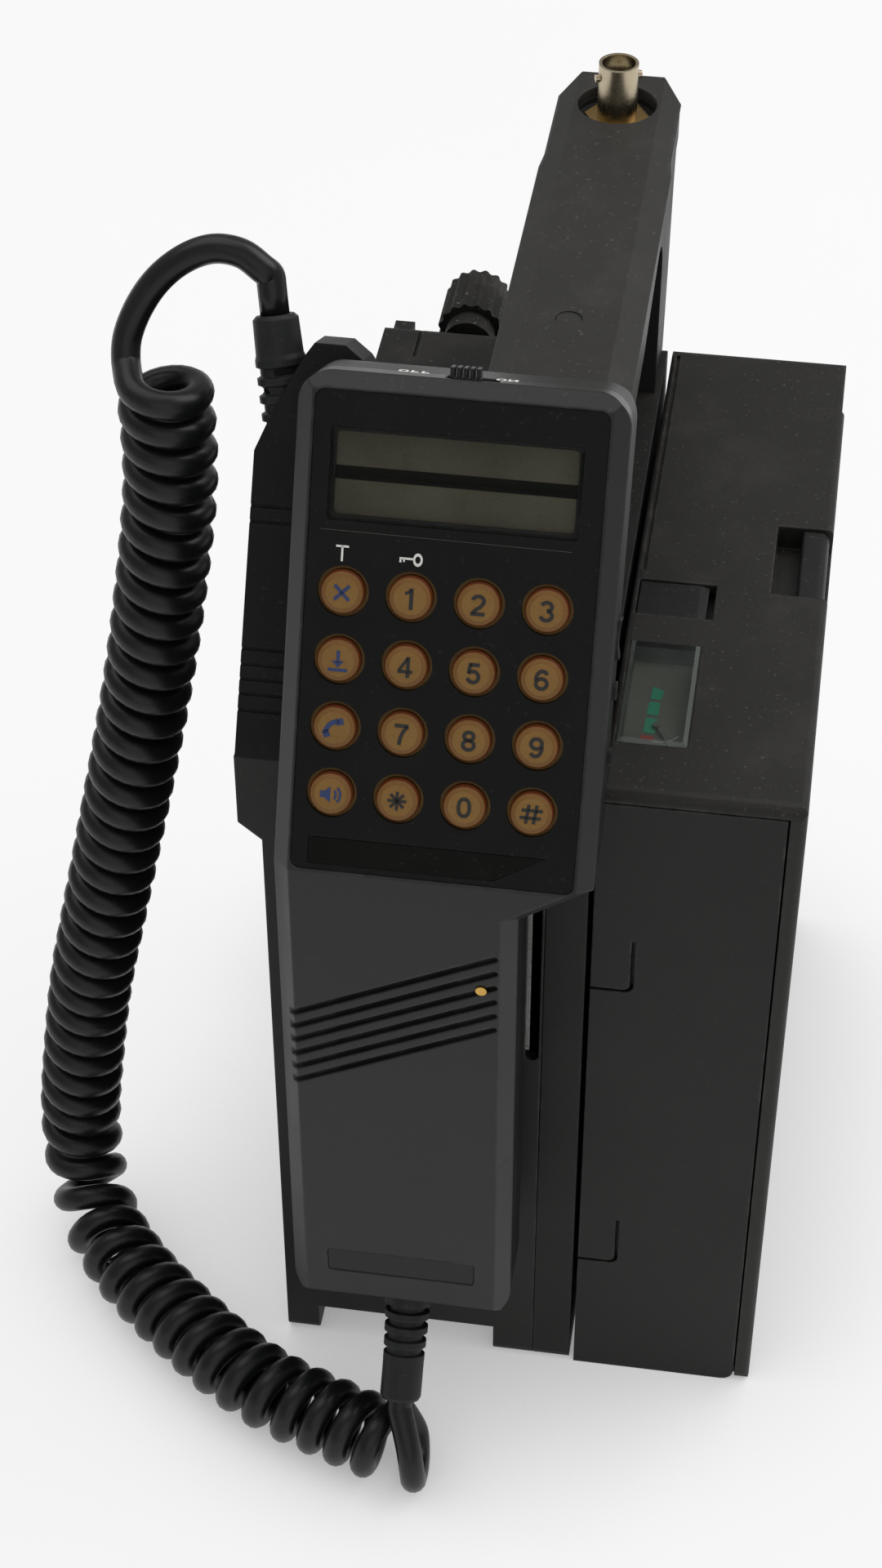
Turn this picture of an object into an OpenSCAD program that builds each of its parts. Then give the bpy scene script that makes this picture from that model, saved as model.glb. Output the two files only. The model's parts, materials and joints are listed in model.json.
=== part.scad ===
// Transportable cellular telephone: an upright transceiver with a clip-on battery pack
// on its right, a carrying handle that holds the aerial socket, and a corded handset
// that leans back in a cradle on the front.
// X runs to the right, Y to the back, Z up. The origin is on the floor, under the
// middle plane of the handle, half way between the front and the back of the housing.

/* [Housing] */
// Height of the housing, floor to top face
body_h = 193.2; // [180:0.2:215]
// Depth of the housing, front to back
body_d = 169.3; // [160:0.1:190]
// Width of the transceiver
tx_w = 71.8; // [69:0.1:85]
// Middle plane of the handle to the right side of the transceiver
handle_to_side = 16.3; // [15.9:0.1:18]
// Wall thickness of the housing mouldings
wall = 2.6; // [2:0.1:3.2]
// Radius of the housing edges
edge_r = 3; // [2:0.1:4]
// Width of the narrow right-hand half shell of the transceiver
side_shell_w = 9.3; // [8.8:0.1:11]
// Height of the open underside between the foot rails
foot_h = 10; // [8:0.5:12]
// Width of the left foot rail
foot_w = 8; // [6:0.5:10]
// Diameter of the housing screws
screw_d = 3; // [2.5:0.1:3.5]

/* [Battery pack] */
// Width of the battery pack
pack_w = 44.1; // [43:0.1:52]
// Gap between the transceiver and the battery pack
pack_gap = 1.2; // [0.8:0.1:1.5]
// Diameter of one battery cell
cell_d = 32.4; // [30:0.1:33]
// Length of one battery cell
cell_l = 61; // [55:0.5:64]
// Width of the battery gauge window
gauge_w = 15.7; // [13:0.1:17]
// Length of the battery gauge window
gauge_l = 35; // [30:0.5:40]
// Travel of the push latch
latch_travel = 1.5; // [1:0.1:2]
// Travel of the side catch
catch_travel = 4.5; // [3:0.1:5]
// Length of a snap tongue in the front cover
tongue_l = 20; // [16:0.5:24]
// Width of a snap tongue in the front cover
tongue_w = 9.6; // [7:0.1:12]
// Width of a moulded separating groove
groove_w = 0.8; // [0.6:0.1:1]

/* [Handle] */
// Height of the handle's top face above the housing
handle_h = 60.7; // [56:0.1:66]
// Width of the handle
handle_w = 31.4; // [28:0.1:31.6]
// Width of the flat band along the top of the handle
handle_flat = 20.8; // [18:0.1:23]
// How far the rear end of the handle overhangs the housing
handle_over = 25.4; // [22:0.1:28]
// Outer diameter of the aerial socket
socket_d = 9.6; // [9.4:0.05:9.8]
// How far the aerial socket stands above the handle
socket_h = 11; // [9:0.5:13]
// Diameter of the recess round the aerial socket
recess_d = 19.2; // [18:0.1:20]

/* [Handset] */
// How far the upper part of the handset leans back, in degrees
tilt = 26.4; // [24:0.2:29]
// Thickness of the handset
hs_t = 22; // [20:0.2:23]
// Width of the lower part of the handset
hs_low_w = 51.2; // [48:0.1:54]
// Width of the upper part of the handset
hs_up_w = 66.5; // [65:0.1:70]
// Length of the lower part of the handset
hs_low_l = 139.5; // [130:0.5:146]
// Length of the upper part of the handset
hs_up_l = 103; // [102:0.5:108]
// Middle plane of the handle to the left side of the handset
hs_left = 47; // [45:0.1:49]
// Chamfer along the edges of the handset
hs_ch = 3.5; // [2.5:0.1:4]
// Thickness of the front face of the handset
hs_face = 2.6; // [2.4:0.1:3]
// Space between the handset and the front of the housing
hs_gap = 7.85; // [7:0.05:9]
// Free play between the handset and the cradle
seat_play = 0.3; // [0.2:0.05:0.5]

/* [Keys] */
// Diameter of a key
key_d = 9; // [8:0.1:9.6]
// Spacing of the keys across the handset
key_px = 13.75; // [13.4:0.05:14]
// Spacing of the keys along the handset
key_py = 14; // [13.6:0.05:14.4]
// Travel of a key
key_travel = 1.2; // [0.8:0.1:1.4]
// How far a key stands above the key panel
key_up = 1.5; // [1:0.1:2]
// Clearance round a key
key_gap = 0.75; // [0.5:0.05:0.9]

/* [Cord] */
// Diameter of the cord
cord_d = 6.2; // [5.6:0.1:6.4]
// Outer diameter of the curls
coil_d = 21.2; // [20:0.1:22]
// Advance of one curl along a straight stretch
curl_pitch = 7.2; // [7.1:0.1:8.4]
// Diameter of the strain reliefs
relief_d = 11.2; // [10:0.1:12]
// Length of the strain reliefs outside their sockets
relief_l = 30; // [26:0.5:34]

/* [Hidden] */
eps = 0.01;
arc_n = 4;

// Housing
tx_x1 = handle_to_side;
tx_x0 = tx_x1 - tx_w;
seam_x = tx_x1 - side_shell_w;
y0 = -body_d / 2;
y1 = body_d / 2;
pack_x0 = tx_x1 + pack_gap;
pack_x1 = pack_x0 + pack_w;
boss_r = screw_d / 2 + 2.2;
screw_yz = [[y0 + 14, 24], [y1 - 14, 24], [y0 + 14, body_h - 16], [y1 - 14, body_h - 16]];
ear_x = tx_x0 - 5.2;
slot_x0 = seam_x - 3.7;
slot_x1 = seam_x - 0.6;
slot_z0 = 109;
slot_z1 = body_h - 18;
port_x0 = tx_x0 + 12;
port_x1 = port_x0 + 17;

// Battery pack
side_wall = 3.6;
cover_x1 = pack_x1 - side_wall - 0.4;
cover_t = 2.6;
cover_top = body_h - wall - 0.3;
cell_z0 = wall;
cell_pz = cell_d;
gauge_x0 = pack_x0 + 1.6;
gauge_y0 = y0 + 16.6;
latch_x0 = pack_x0 + 1.7;
latch_x1 = latch_x0 + 15.6;
latch_y0 = y0 + 61.6;
latch_y1 = latch_y0 + 12;
latch_t = 5;
catch_y0 = y0 + 73;
catch_y1 = catch_y0 + 25;
catch_x1 = pack_x1 - 0.8;
catch_x0 = catch_x1 - 6.4;
catch_t = 6;
pocket_x0 = catch_x0 - catch_travel - 1.2;
pocket_d = catch_t + 0.3;
dial_t = 2;
dial_z = body_h - wall - 4.4;

// Handle
top_z = body_h + handle_h;
hx = handle_w / 2;
bar_h = 13.3;
grip_h = 7;
handle_y1 = y1 + handle_over;
socket_y = y1 + 10.8;
recess_h = 4.4;
post_y1 = y1 - 1;
post_y0 = post_y1 - 18;
slab_t = 12;
function slab_back(z) = y0 + (z - body_h) * tan(tilt) + slab_t / cos(tilt);
front_y0 = slab_back(top_z) + 0.2;

// Handset, set out from the bend line in its front face
face_y = y0 - hs_gap - hs_t;
bend_z = body_h - 2.7;
hs_x0 = -hs_left;
low_x1 = hs_x0 + hs_low_w;
up_x1 = hs_x0 + hs_up_w;
hs_split = 9;
low_more = 0.06; // how much wider the bevel is on the grip
hs_wall = 3;
shoulder = 11;
half = tilt / 2;

// Keys and windows, in the plane of the upper face
key_x0 = hs_x0 + 11.7;
key_y0 = 17.2;
panel_x0 = hs_x0 + hs_ch + 0.5;
panel_x1 = up_x1 - hs_ch - 0.5;
panel_y0 = 0.6;
panel_y1 = hs_up_l - hs_ch;
panel_t = 1.2;
panel_in = 0.3;
key_hole = key_d / 2 + key_gap;
flange_r = key_d / 2 + 1.7;
flange_t = 1.1;
board_d = 7;
lens_x0 = hs_x0 + 7.5;
lens_x1 = lens_x0 + 50.5;
lens_y0 = 73.5;
lens_y1 = 92.3;
lens_gap = 0.1;
function strip(i) = [[hs_x0 + 7.4 + i, 1.8 + i], [hs_x0 + 46 - i, 1.8 + i], [hs_x0 + 56.6 - 2.4 * i, 7.6 - i],
    [hs_x0 + 7.4 + i, 7.6 - i]];
key_bay_y0 = key_y0 - flange_r - 0.6;
key_bay_y1 = key_y0 + 3 * key_py + flange_r + 0.6;
switch_x = hs_x0 + 33;
switch_w = 7;
switch_travel = 3;
rocker_y = 52;
button_ya = 41;
button_yb = 27;
button_depth = 13;
button_r = 2;
plate = [hs_x0 + 8.7, 62.7 - bend_z, hs_x0 + 43, 70 - bend_z];
pin_x = hs_x0 + 44;
pin_y = -29.6;
pin_r = 1.2;
post_xy = [[hs_x0 + 5.2, 8.8], [hs_x0 + 57, 8.8], [hs_x0 + 5.2, hs_up_l - 7.8], [hs_x0 + 57, hs_up_l - 7.8]];
speaker_x = (hs_x0 + up_x1) / 2;
speaker_y = hs_up_l - 24;

// Cradle
pad_t = (cos(tilt) * (y0 - face_y) - sin(tilt) * (body_h - bend_z)) - hs_t - seat_play;
cradle_x1 = 12;
tray_x0 = hs_x0 + 3;
tray_x1 = low_x1 - 3;
tray_t = hs_gap - seat_play;
tray_z0 = 62;

// Strain reliefs: one leans out of the cradle's shoulder, one out of the handset's end
lead_root = [-52.4, 64, -6];
lead_lean = 10;
end_root = [hs_x0 + 26.5, face_y + 9.5, bend_z - hs_low_l];
end_lean = 12;

// ---------- shared shapes ----------
function arc(cx, cy, r, a0, a1) =
    [for (i = [0:arc_n]) let (a = a0 + (a1 - a0) * i / arc_n) [cx + r * cos(a), cy + r * sin(a)]];
function rect(x0, z0, x1, z1, r) = concat(
    arc(x1 - r, z0 + r, r, -90, 0), arc(x1 - r, z1 - r, r, 0, 90),
    arc(x0 + r, z1 - r, r, 90, 180), arc(x0 + r, z0 + r, r, 180, 270));

// Extrude a Y-Z outline along X, an X-Z outline along Y, an X-Y outline along Z
module along_x(x0, x1) translate([x0, 0, 0]) rotate([90, 0, 90]) linear_extrude(x1 - x0) children();
module along_y(ya, yb) translate([0, yb, 0]) rotate([90, 0, 0]) linear_extrude(yb - ya) children();
module along_z(za, zb) translate([0, 0, za]) linear_extrude(zb - za) children();
module block(x0, x1, ya, yb, za, zb) translate([x0, ya, za]) cube([x1 - x0, yb - ya, zb - za]);

// The faces of the handset and of the cradle as drawing planes, Z outwards
module up_face() translate([0, face_y, bend_z]) rotate([90 - tilt, 0, 0]) children();
module low_face() translate([0, face_y, bend_z]) rotate([90, 0, 0]) children();
module cradle_face() translate([0, y0, body_h]) rotate([90 - tilt, 0, 0]) children();
module slab(z0, z1) translate([0, 0, z0]) linear_extrude(z1 - z0) children();

// ---------- transceiver ----------
module main_shell() color("#2f2f30") {
    difference() {
        union() {
            along_x(tx_x0, seam_x) polygon(rect(y0, 0, y1, body_h, edge_r));
            // ear that carries the left edge of the cradle
            along_y(y0, y0 + 22) polygon([[ear_x, body_h], [ear_x, body_h - 18.9],
                [tx_x0 + 0.5, body_h - 24], [tx_x0 + 6, body_h - 24], [tx_x0 + 6, body_h]]);
            // stepped rear corner
            along_z(body_h - 12, body_h - edge_r) polygon([[tx_x0 + 1.5, y1 - 1], [tx_x0 + 6.5, y1 - 1],
                [tx_x0 + 6.5, y1 + 6], [tx_x0 + 1.5, y1 + 6]]);
        }
        // cavity, open to the side shell
        along_x(tx_x0 + wall, seam_x + 1)
            polygon(rect(y0 + wall, foot_h + wall, y1 - wall, body_h - wall, edge_r - 1));
        // open underside between the foot rails
        block(tx_x0 + foot_w, -foot_w + 5, y0 - 1, y1 + 1, -1, foot_h);
        // front contact slot with a round lower end
        block(slot_x0, slot_x1, y0 - 1, y0 + wall + 1, slot_z0 + 1.55, slot_z1);
        translate([(slot_x0 + slot_x1) / 2, y0 - 1, slot_z0 + 1.55])
            rotate([-90, 0, 0]) cylinder(r = (slot_x1 - slot_x0) / 2, h = wall + 2, $fn = 24);
        // panel line across the rear top corner
        block(tx_x0 + 9, tx_x0 + 9 + groove_w, y1 - 14, y1 + 1, body_h - 1, body_h + 1);
        // connector port in the back
        block(port_x0, port_x1, y1 - wall - 1, y1 + 1, body_h - 19.5, body_h - 6.5);
    }
    // screw pillars, tied to the left wall
    for (p = screw_yz) difference() {
        translate([tx_x0 + 1, p[0], p[1]]) rotate([0, 90, 0])
            cylinder(r = boss_r, h = seam_x - tx_x0 - 1, $fn = 32);
        translate([seam_x - 14, p[0], p[1]]) rotate([0, 90, 0])
            cylinder(d = screw_d, h = 15, $fn = 32);
    }
    // stiffening ribs along the ceiling of the underside
    for (i = [0:5]) block(tx_x0 + foot_w, -foot_w + 5, y0 + 12 + 28 * i, y0 + 14 + 28 * i, foot_h - 3, foot_h + 1);
}

module side_shell() color("#2a2a2b") difference() {
    union() {
        along_x(seam_x + 0.15, tx_x1) polygon(rect(y0, 0, y1, body_h, edge_r));
        // lip that locates in the main shell
        along_x(seam_x - 2, seam_x + 1) difference() {
            polygon(rect(y0 + wall + 0.15, foot_h + wall + 0.15, y1 - wall - 0.15, body_h - wall - 0.15, 2));
            polygon(rect(y0 + wall + 1.7, foot_h + wall + 1.7, y1 - wall - 1.7, body_h - wall - 1.7, 1));
        }
    }
    along_x(seam_x - 3, tx_x1 - wall)
        polygon(rect(y0 + wall + 1.6, foot_h + wall + 1.6, y1 - wall - 1.6, body_h - wall - 1.6, 1));
    // relief of the lip beside the front slot
    block(seam_x - 3, seam_x, y0, y0 + 2 * wall, slot_z0 - 2, slot_z1 + 2);
    for (p = screw_yz) translate([tx_x1 - wall - 1, p[0], p[1]]) rotate([0, 90, 0])
        cylinder(d = screw_d + 0.3, h = wall + 2, $fn = 32);
    for (p = screw_yz) translate([tx_x1 - 1.4, p[0], p[1]]) rotate([0, 90, 0])
        cylinder(r = screw_d, h = 2, $fn = 32);
}

module slot_contact() color("#b9b6ac")
    block(slot_x0, slot_x0 + 0.9, y0 + 0.6, y0 + wall - 0.2, slot_z0 + 2.7, slot_z0 + 50);

module rf_board() color("#2f5d3a") difference() {
    block(-34, -32.4, y0 + 8, y1 - 8, foot_h + 8, body_h - 10);
    for (p = screw_yz) translate([-40, p[0], p[1]]) rotate([0, 90, 0])
        cylinder(r = boss_r, h = 12, $fn = 32);
}

module shield_can() color("#b5b7b8") difference() {
    union() {
        block(-32.4, -8, y0 + 28, y0 + 78, foot_h + 22, body_h - 36);
        block(-32.4, -4, y0 + 84, y1 - 26, foot_h + 22, body_h - 50);
    }
    block(-31.6, -8.8, y0 + 28.8, y0 + 77.2, foot_h + 22.8, body_h - 36.8);
    block(-31.6, -4.8, y0 + 84.8, y1 - 26.8, foot_h + 22.8, body_h - 50.8);
}

module shell_screws() color("#8d8f90") for (p = screw_yz)
    translate([0, p[0], p[1]]) rotate([0, 90, 0]) {
        translate([0, 0, seam_x - 13]) cylinder(d = screw_d, h = tx_x1 - 1.4 - seam_x + 13, $fn = 32);
        difference() {
            translate([0, 0, tx_x1 - 1.4]) cylinder(r = screw_d - 0.2, h = 1.2, $fn = 32);
            translate([0, 0, tx_x1 - 0.8]) cube([4 * screw_d, 0.8, 1.4], center = true);
        }
    }

// ---------- cradle ----------
function cradle_outline() = [[ear_x, -12], [cradle_x1, -12], [cradle_x1, 76], [-30, 76],
    [-37.8, 86.4], [-41.6, 89.2], [-48, 89.2], [-50, 86.3], [-55.6, 75.5], [ear_x + 1.2, 66]];

module cradle() color("#262627") difference() {
    union() {
        difference() {
            cradle_face() difference() {
                union() {
                    slab(-slab_t, 0) polygon(cradle_outline());
                    // pads that the handset's back rests on
                    for (x = [hs_x0 + 8, low_x1 - 4]) slab(-1, pad_t) polygon(rect(x, 22, x + 8, 66, 2));
                    // locating hook behind the earpiece end
                    slab(-1, pad_t) polygon(rect(-40, 70, -4, 75, 2));
                }
                // grip lines along the left margin
                for (s = [10.4, 14, 17.2, 20.4, 23.8, 51.1, 54.4])
                    translate([0, 0, -0.5]) slab(0, 1) polygon([[ear_x - 1, s - 0.4], [hs_x0 - 0.5, s - 0.4],
                        [hs_x0 - 0.5, s + 0.4], [ear_x - 1, s + 0.4]]);
            }
            block(-100, 100, -200, 100, body_h - 60, body_h);
            // socket of the strain relief
            relief_at_cradle() translate([0, 0, -1]) cylinder(d = relief_d, h = 60, $fn = 32);
        }
        // props that stand on the housing behind the slab
        for (x = [-52, -24]) along_x(x, x + 3) polygon([[slab_back(body_h) - 2, body_h],
            [slab_back(body_h) + 22, body_h], [slab_back(body_h) + 22, body_h + 4],
            [slab_back(body_h + 44), body_h + 44], [slab_back(body_h + 44) - 2, body_h + 44]]);
        // neck that joins the slab to the tray over the front top edge of the housing
        along_x(tray_x0, tray_x1) polygon([[y0 - 2.5, body_h - 12], [y0, body_h - 12], [y0, body_h],
            [y0 + 4, body_h], [y0 + 4, body_h + 6], [y0 + 0.4, body_h + 5], [y0 - 2.5, body_h]]);
        // tray that carries the mouthpiece end on the front of the housing
        along_y(y0 - tray_t, y0) difference() {
            polygon(rect(tray_x0, tray_z0, tray_x1, body_h - 8, 4));
            polygon(rect(tray_x0 + 8, tray_z0 + 10, tray_x1 - 8, body_h - 40, 4));
        }
    }
}

// ---------- handle ----------
// Parting line between the top moulding and the grip, as seen from the side
seam_line = [[-200, top_z - bar_h], [y0 + 93, top_z - bar_h], [y0 + 117.5, top_z - 8.2],
    [y0 + 138.5, top_z - 4.1], [y0 + 158.5, top_z - 2.6], [300, top_z - 2.6]];

module handle_top() color("#333334") difference() {
    along_y(front_y0 - 14, handle_y1) polygon([[-hx, top_z - 40], [hx, top_z - 40], [hx, top_z - 3],
        [handle_flat / 2, top_z], [-handle_flat / 2, top_z], [-hx, top_z - 3]]);
    // below the parting line
    along_x(-hx - 1, hx + 1) polygon(concat([[-200, top_z - 60]], seam_line, [[300, top_z - 60]]));
    // front end follows the back of the cradle
    along_x(-hx - 1, hx + 1) polygon([[-200, body_h], [slab_back(body_h) + 0.2, body_h],
        [slab_back(top_z + 20) + 0.2, top_z + 20], [-200, top_z + 20]]);
    // clipped rear corners
    for (s = [-1, 1]) along_z(top_z - 20, top_z + 1) polygon([[s * 10, handle_y1 + 1],
        [s * 10, handle_y1], [s * (hx + 1), handle_y1 - 11], [s * (hx + 1), handle_y1 + 1]]);
    // recess round the aerial socket
    translate([0, socket_y, top_z - recess_h]) cylinder(d = recess_d, h = recess_h + 1, $fn = 64);
    // closing plug
    translate([-0.6, 0.8, top_z - 2]) cylinder(r = 3, h = 3, $fn = 32);
}

module handle_plug() color("#2c2c2d")
    translate([-0.6, 0.8, top_z - 2]) cylinder(r = 2.9, h = 1.8, $fn = 32);

module handle_core() color("#29292a") difference() {
    along_x(-hx + 0.8, hx - 0.8) polygon(concat(
        // front post and underside of the grip
        [[slab_back(body_h) + 0.2, body_h], [-36, body_h]],
        arc(-24, body_h + 28, 12, 180, 90),
        [[30, body_h + 42]],
        arc(post_y0 - 12, body_h + 34, 12, 90, 0),
        // rear post
        [[post_y0 - 2, body_h], [post_y1 + 0.4, body_h], [post_y1 + 4, body_h + 18],
         [post_y1 + 6.6, body_h + 34], [post_y1 + 8.4, body_h + 44], [y1 + 9.4, top_z - 10.4],
         [handle_y1 - 9, top_z - 9.8], [handle_y1 - 5.5, top_z - 6.6], [handle_y1 - 5.5, top_z - 2.6],
         [y0 + 158.5, top_z - 2.6]],
        // up to the parting line and forward to the cradle
        [[y0 + 138.5, top_z - 4.1], [y0 + 117.5, top_z - 8.2], [y0 + 93, top_z - bar_h],
         [slab_back(top_z - bar_h) + 0.2, top_z - bar_h]]));
    for (s = [-1, 1]) along_z(top_z - 20, top_z + 1) polygon([[s * 8, handle_y1 + 1],
        [s * 8, handle_y1 - 2], [s * (hx + 1), handle_y1 - 13], [s * (hx + 1), handle_y1 + 1]]);
    translate([0, socket_y, top_z - recess_h]) cylinder(d = recess_d, h = recess_h + 1, $fn = 64);
    // way for the aerial lead down the rear post
    translate([0, socket_y, top_z - 9]) cylinder(d = 5, h = 8, $fn = 24);
}

module bnc_flange() color("#9a835c") translate([0, socket_y, top_z - recess_h]) difference() {
    cylinder(r = 7.9, h = 1.6, $fn = 6);
    translate([0, 0, -1]) cylinder(d = socket_d - 1, h = 4, $fn = 48);
}

module bnc_barrel() color("#a79c86") translate([0, socket_y, 0]) {
    difference() {
        union() {
            translate([0, 0, top_z - recess_h]) cylinder(d = socket_d - 1, h = 1.6, $fn = 48);
            translate([0, 0, top_z - recess_h + 1.6])
                cylinder(d = socket_d, h = recess_h - 1.6 + socket_h, $fn = 48);
            // bayonet studs
            for (a = [0, 180]) rotate([0, 0, a + 20]) translate([0, 0, top_z + socket_h - 3.6])
                rotate([0, 90, 0]) cylinder(d = 1.9, h = socket_d / 2 + 0.9, $fn = 24);
        }
        translate([0, 0, top_z + 1]) cylinder(d = socket_d - 1.5, h = socket_h, $fn = 48);
        translate([0, 0, top_z - recess_h - 1]) cylinder(d = 5, h = 30, $fn = 48);
    }
}

module bnc_insulator() color("#e8e4d8") translate([0, socket_y, top_z - recess_h]) difference() {
    cylinder(d = 5, h = recess_h + socket_h - 4, $fn = 48);
    translate([0, 0, -1]) cylinder(d = 1.8, h = 30, $fn = 32);
}

module bnc_contact() color("#c9a14a") translate([0, socket_y, top_z - recess_h - 3]) difference() {
    cylinder(d = 1.8, h = recess_h + socket_h - 1.5, $fn = 32);
    translate([0, 0, recess_h + socket_h - 5]) cylinder(d = 1, h = 6, $fn = 24);
}

// ---------- rear connector ----------
module rear_connector() color("#242425") {
    block(port_x0, port_x1, y1 - wall + 0.2, y1 + 6, body_h - 19.5, body_h - 6.5);
    translate([(port_x0 + port_x1) / 2, y1 + 3, body_h - 6.5]) rotate([-90, 0, 0]) cylinder(r = 6.4, h = 5.4, $fn = 48);
}

module rear_knob() color("#222223") translate([(port_x0 + port_x1) / 2, y1 + 8.4, body_h - 6.5]) rotate([-90, 0, 0])
    linear_extrude(16.5) polygon([for (i = [0:95]) let (a = i * 3.75, r = 8.6 - 0.8 * pow(cos(a * 8), 2))
        [r * cos(a), r * sin(a)]]);

// ---------- strain reliefs ----------
relief_r = relief_d / 2;
function relief_profile(root) = let (e = relief_l) concat(
    [[0, -root], [relief_r, -root], [relief_r, 6]],
    [for (i = [0:3]) each [[relief_r - 1.1, 6.6 + 3.7 * i], [relief_r - 1.1, 8.1 + 3.7 * i],
        [relief_r - 0.3, 8.5 + 3.7 * i], [relief_r - 0.3, 9.9 + 3.7 * i]]],
    [[relief_r - 0.6, e - 8], [relief_r - 0.8, e - 0.8], [relief_r - 1.6, e], [0, e]]);

module relief(root) difference() {
    rotate_extrude($fn = 48) polygon(relief_profile(root));
    // flex slots through the ribs
    for (i = [0:3]) rotate([0, 0, 90 * (i % 2) + 25]) translate([0, 0, 7.35 + 3.7 * i])
        for (s = [-1, 1]) translate([s * relief_r, 0, 0]) cube([relief_r * 0.9, 5, 1.2], center = true);
}

module relief_at_cradle() cradle_face() translate(lead_root) rotate([0, 0, lead_lean])
    rotate([-90, 0, 0]) children();
module relief_at_handset() translate(end_root) rotate([end_lean, 0, 0]) rotate([180, 0, 0]) children();

module cradle_relief() color("#232324") relief_at_cradle() relief(0);
module handset_relief() color("#3a3b3c") relief_at_handset() relief(2.6);

// ---------- cord ----------
function unit(v) = v / norm(v);
function cr(a, b, c, d, t) = 0.5 * (2 * b + (c - a) * t + (2 * a - 5 * b + 4 * c - d) * t * t
    + (3 * b - a - 3 * c + d) * t * t * t);
function spline(p, n) = concat([for (i = [0:len(p) - 2]) for (k = [0:n - 1])
    cr(p[max(i - 1, 0)], p[i], p[i + 1], p[min(i + 2, len(p) - 1)], k / n)], [p[len(p) - 1]]);
function dirs(p) = [for (i = [0:len(p) - 1]) unit(p[min(i + 1, len(p) - 1)] - p[max(i - 1, 0)])];

// Ring of points round p, square to t, starting on the side that n points to
function ring(p, t, n, r, sides) = let (a = unit(n - (n * t) * t), b = cross(t, a))
    [for (k = [0:sides - 1]) p + r * (cos(360 * k / sides) * a + sin(360 * k / sides) * b)];
module skin(rings) {
    m = len(rings[0]);
    n = len(rings);
    polyhedron(points = [for (g = rings) each g], faces = concat(
        [for (i = [1:m - 2]) [0, i + 1, i]],
        [for (j = [0:n - 2]) for (i = [0:m - 1]) each [
            [j * m + i, j * m + (i + 1) % m, (j + 1) * m + (i + 1) % m],
            [j * m + i, (j + 1) * m + (i + 1) % m, (j + 1) * m + i]]],
        [for (i = [1:m - 2]) [(n - 1) * m, (n - 1) * m + i, (n - 1) * m + i + 1]]));
}
module tube(path, r, sides, n) {
    t = dirs(path);
    skin([for (i = [0:len(path) - 1]) ring(path[i], t[i], n, r, sides)]);
}

// Where the cord leaves each strain relief, and the way it points there
lead_dir = let (a = lead_lean, u = [0, sin(tilt), cos(tilt)]) unit([-sin(a), 0, 0] + cos(a) * u);
lead_from = [0, y0, body_h] + [lead_root[0], 0, 0] + lead_root[1] * [0, sin(tilt), cos(tilt)]
    + lead_root[2] * [0, -cos(tilt), sin(tilt)] + relief_l * lead_dir;
end_dir = [0, -sin(end_lean), -cos(end_lean)];
end_from = end_root + relief_l * end_dir;

// Middle line of the curls: down beside the housing and forward along the floor
coil_path = [[-80, -46, 262], [-80, -46, 240], [-82, -47, 220], [-87, -48, 188], [-92, -49, 162],
    [-98, -49, 134], [-104, -50, 106], [-109, -50, 82], [-113, -51, 54], [-115, -51, 36],
    [-114, -55, 20], [-108, -66, 11], [-99, -78, 11], [-90, -87, 11], [-78, -97, 11], [-66, -106, 11],
    [-54, -113, 11], [-43, -118, 11], [-31, -123, 11]];
lead_path = [[-66, -40, 285], [-75, -40, 288], [-84, -41, 283], [-88, -43, 272], [-84, -45, 266]];
tail_path = [[-17, -129, 9], [-11, -131, 6], [-10, -127, 4], [-13, -122, 4]];
coil_ref = [-0.57, -0.8, 0.16];

coil_r = (coil_d - cord_d) / 2;
close_pitch = cord_d + 0.8;
c_line = spline(coil_path, 8);
c_len = len(c_line);
c_dir = dirs(c_line);
// Length and turned angle up to each point; the curls open up where the line bends
c_step = [for (i = [0:c_len - 2]) norm(c_line[i + 1] - c_line[i])];
c_bend = [for (i = [0:c_len - 2]) norm(c_dir[i + 1] - c_dir[i]) / c_step[i]];
c_turn = [for (i = [0:c_len - 2])
    c_step[i] / max(curl_pitch, close_pitch / max(0.3, 1 - c_bend[i] * coil_r))];
c_cum = [for (i = 0, a = 0, b = 0; i < c_len; b = b + (i < c_len - 1 ? c_turn[i] : 0),
    a = a + (i < c_len - 1 ? c_step[i] : 0), i = i + 1) [a, b]];
lead_in = cord_d;
turn_in = lookup(lead_in, [for (i = [0:c_len - 1]) [c_cum[i][0], c_cum[i][1]]]);
turn_out = lookup(c_cum[c_len - 1][0] - lead_in, [for (i = [0:c_len - 1]) [c_cum[i][0], c_cum[i][1]]]);
curls = floor(turn_out - turn_in);
by_turn = [for (i = [0:c_len - 1]) [c_cum[i][1], i]];
function line_at(q) = let (i = min(floor(q), c_len - 2)) c_line[i] + (q - i) * (c_line[i + 1] - c_line[i]);
function dir_at(q) = let (i = min(floor(q), c_len - 2)) unit(c_dir[i] + (q - i) * (c_dir[i + 1] - c_dir[i]));
function ease(x) = let (t = min(max(x, 0), 1)) t * t * (3 - 2 * t);
n_ring = 8 * curls;
function wire_at(k) = let (w = k / 8, q = lookup(turn_in + w * (turn_out - turn_in) / curls, by_turn),
    t = dir_at(q), a = unit(coil_ref - (coil_ref * t) * t), b = cross(t, a),
    r = coil_r * ease(w / 0.75) * ease((curls - w) / 0.75))
    line_at(q) + r * (cos(360 * w) * a + sin(360 * w) * b);
coil_wire = concat([c_line[0]], [for (k = [0:n_ring]) wire_at(k)], [c_line[c_len - 1]]);
coil_gap = min([for (k = [8:n_ring - 16]) min([for (j = [5:12])
    k + j > n_ring - 4 ? 99 : norm(coil_wire[k] - coil_wire[k + j])])]) - cord_d;

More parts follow.
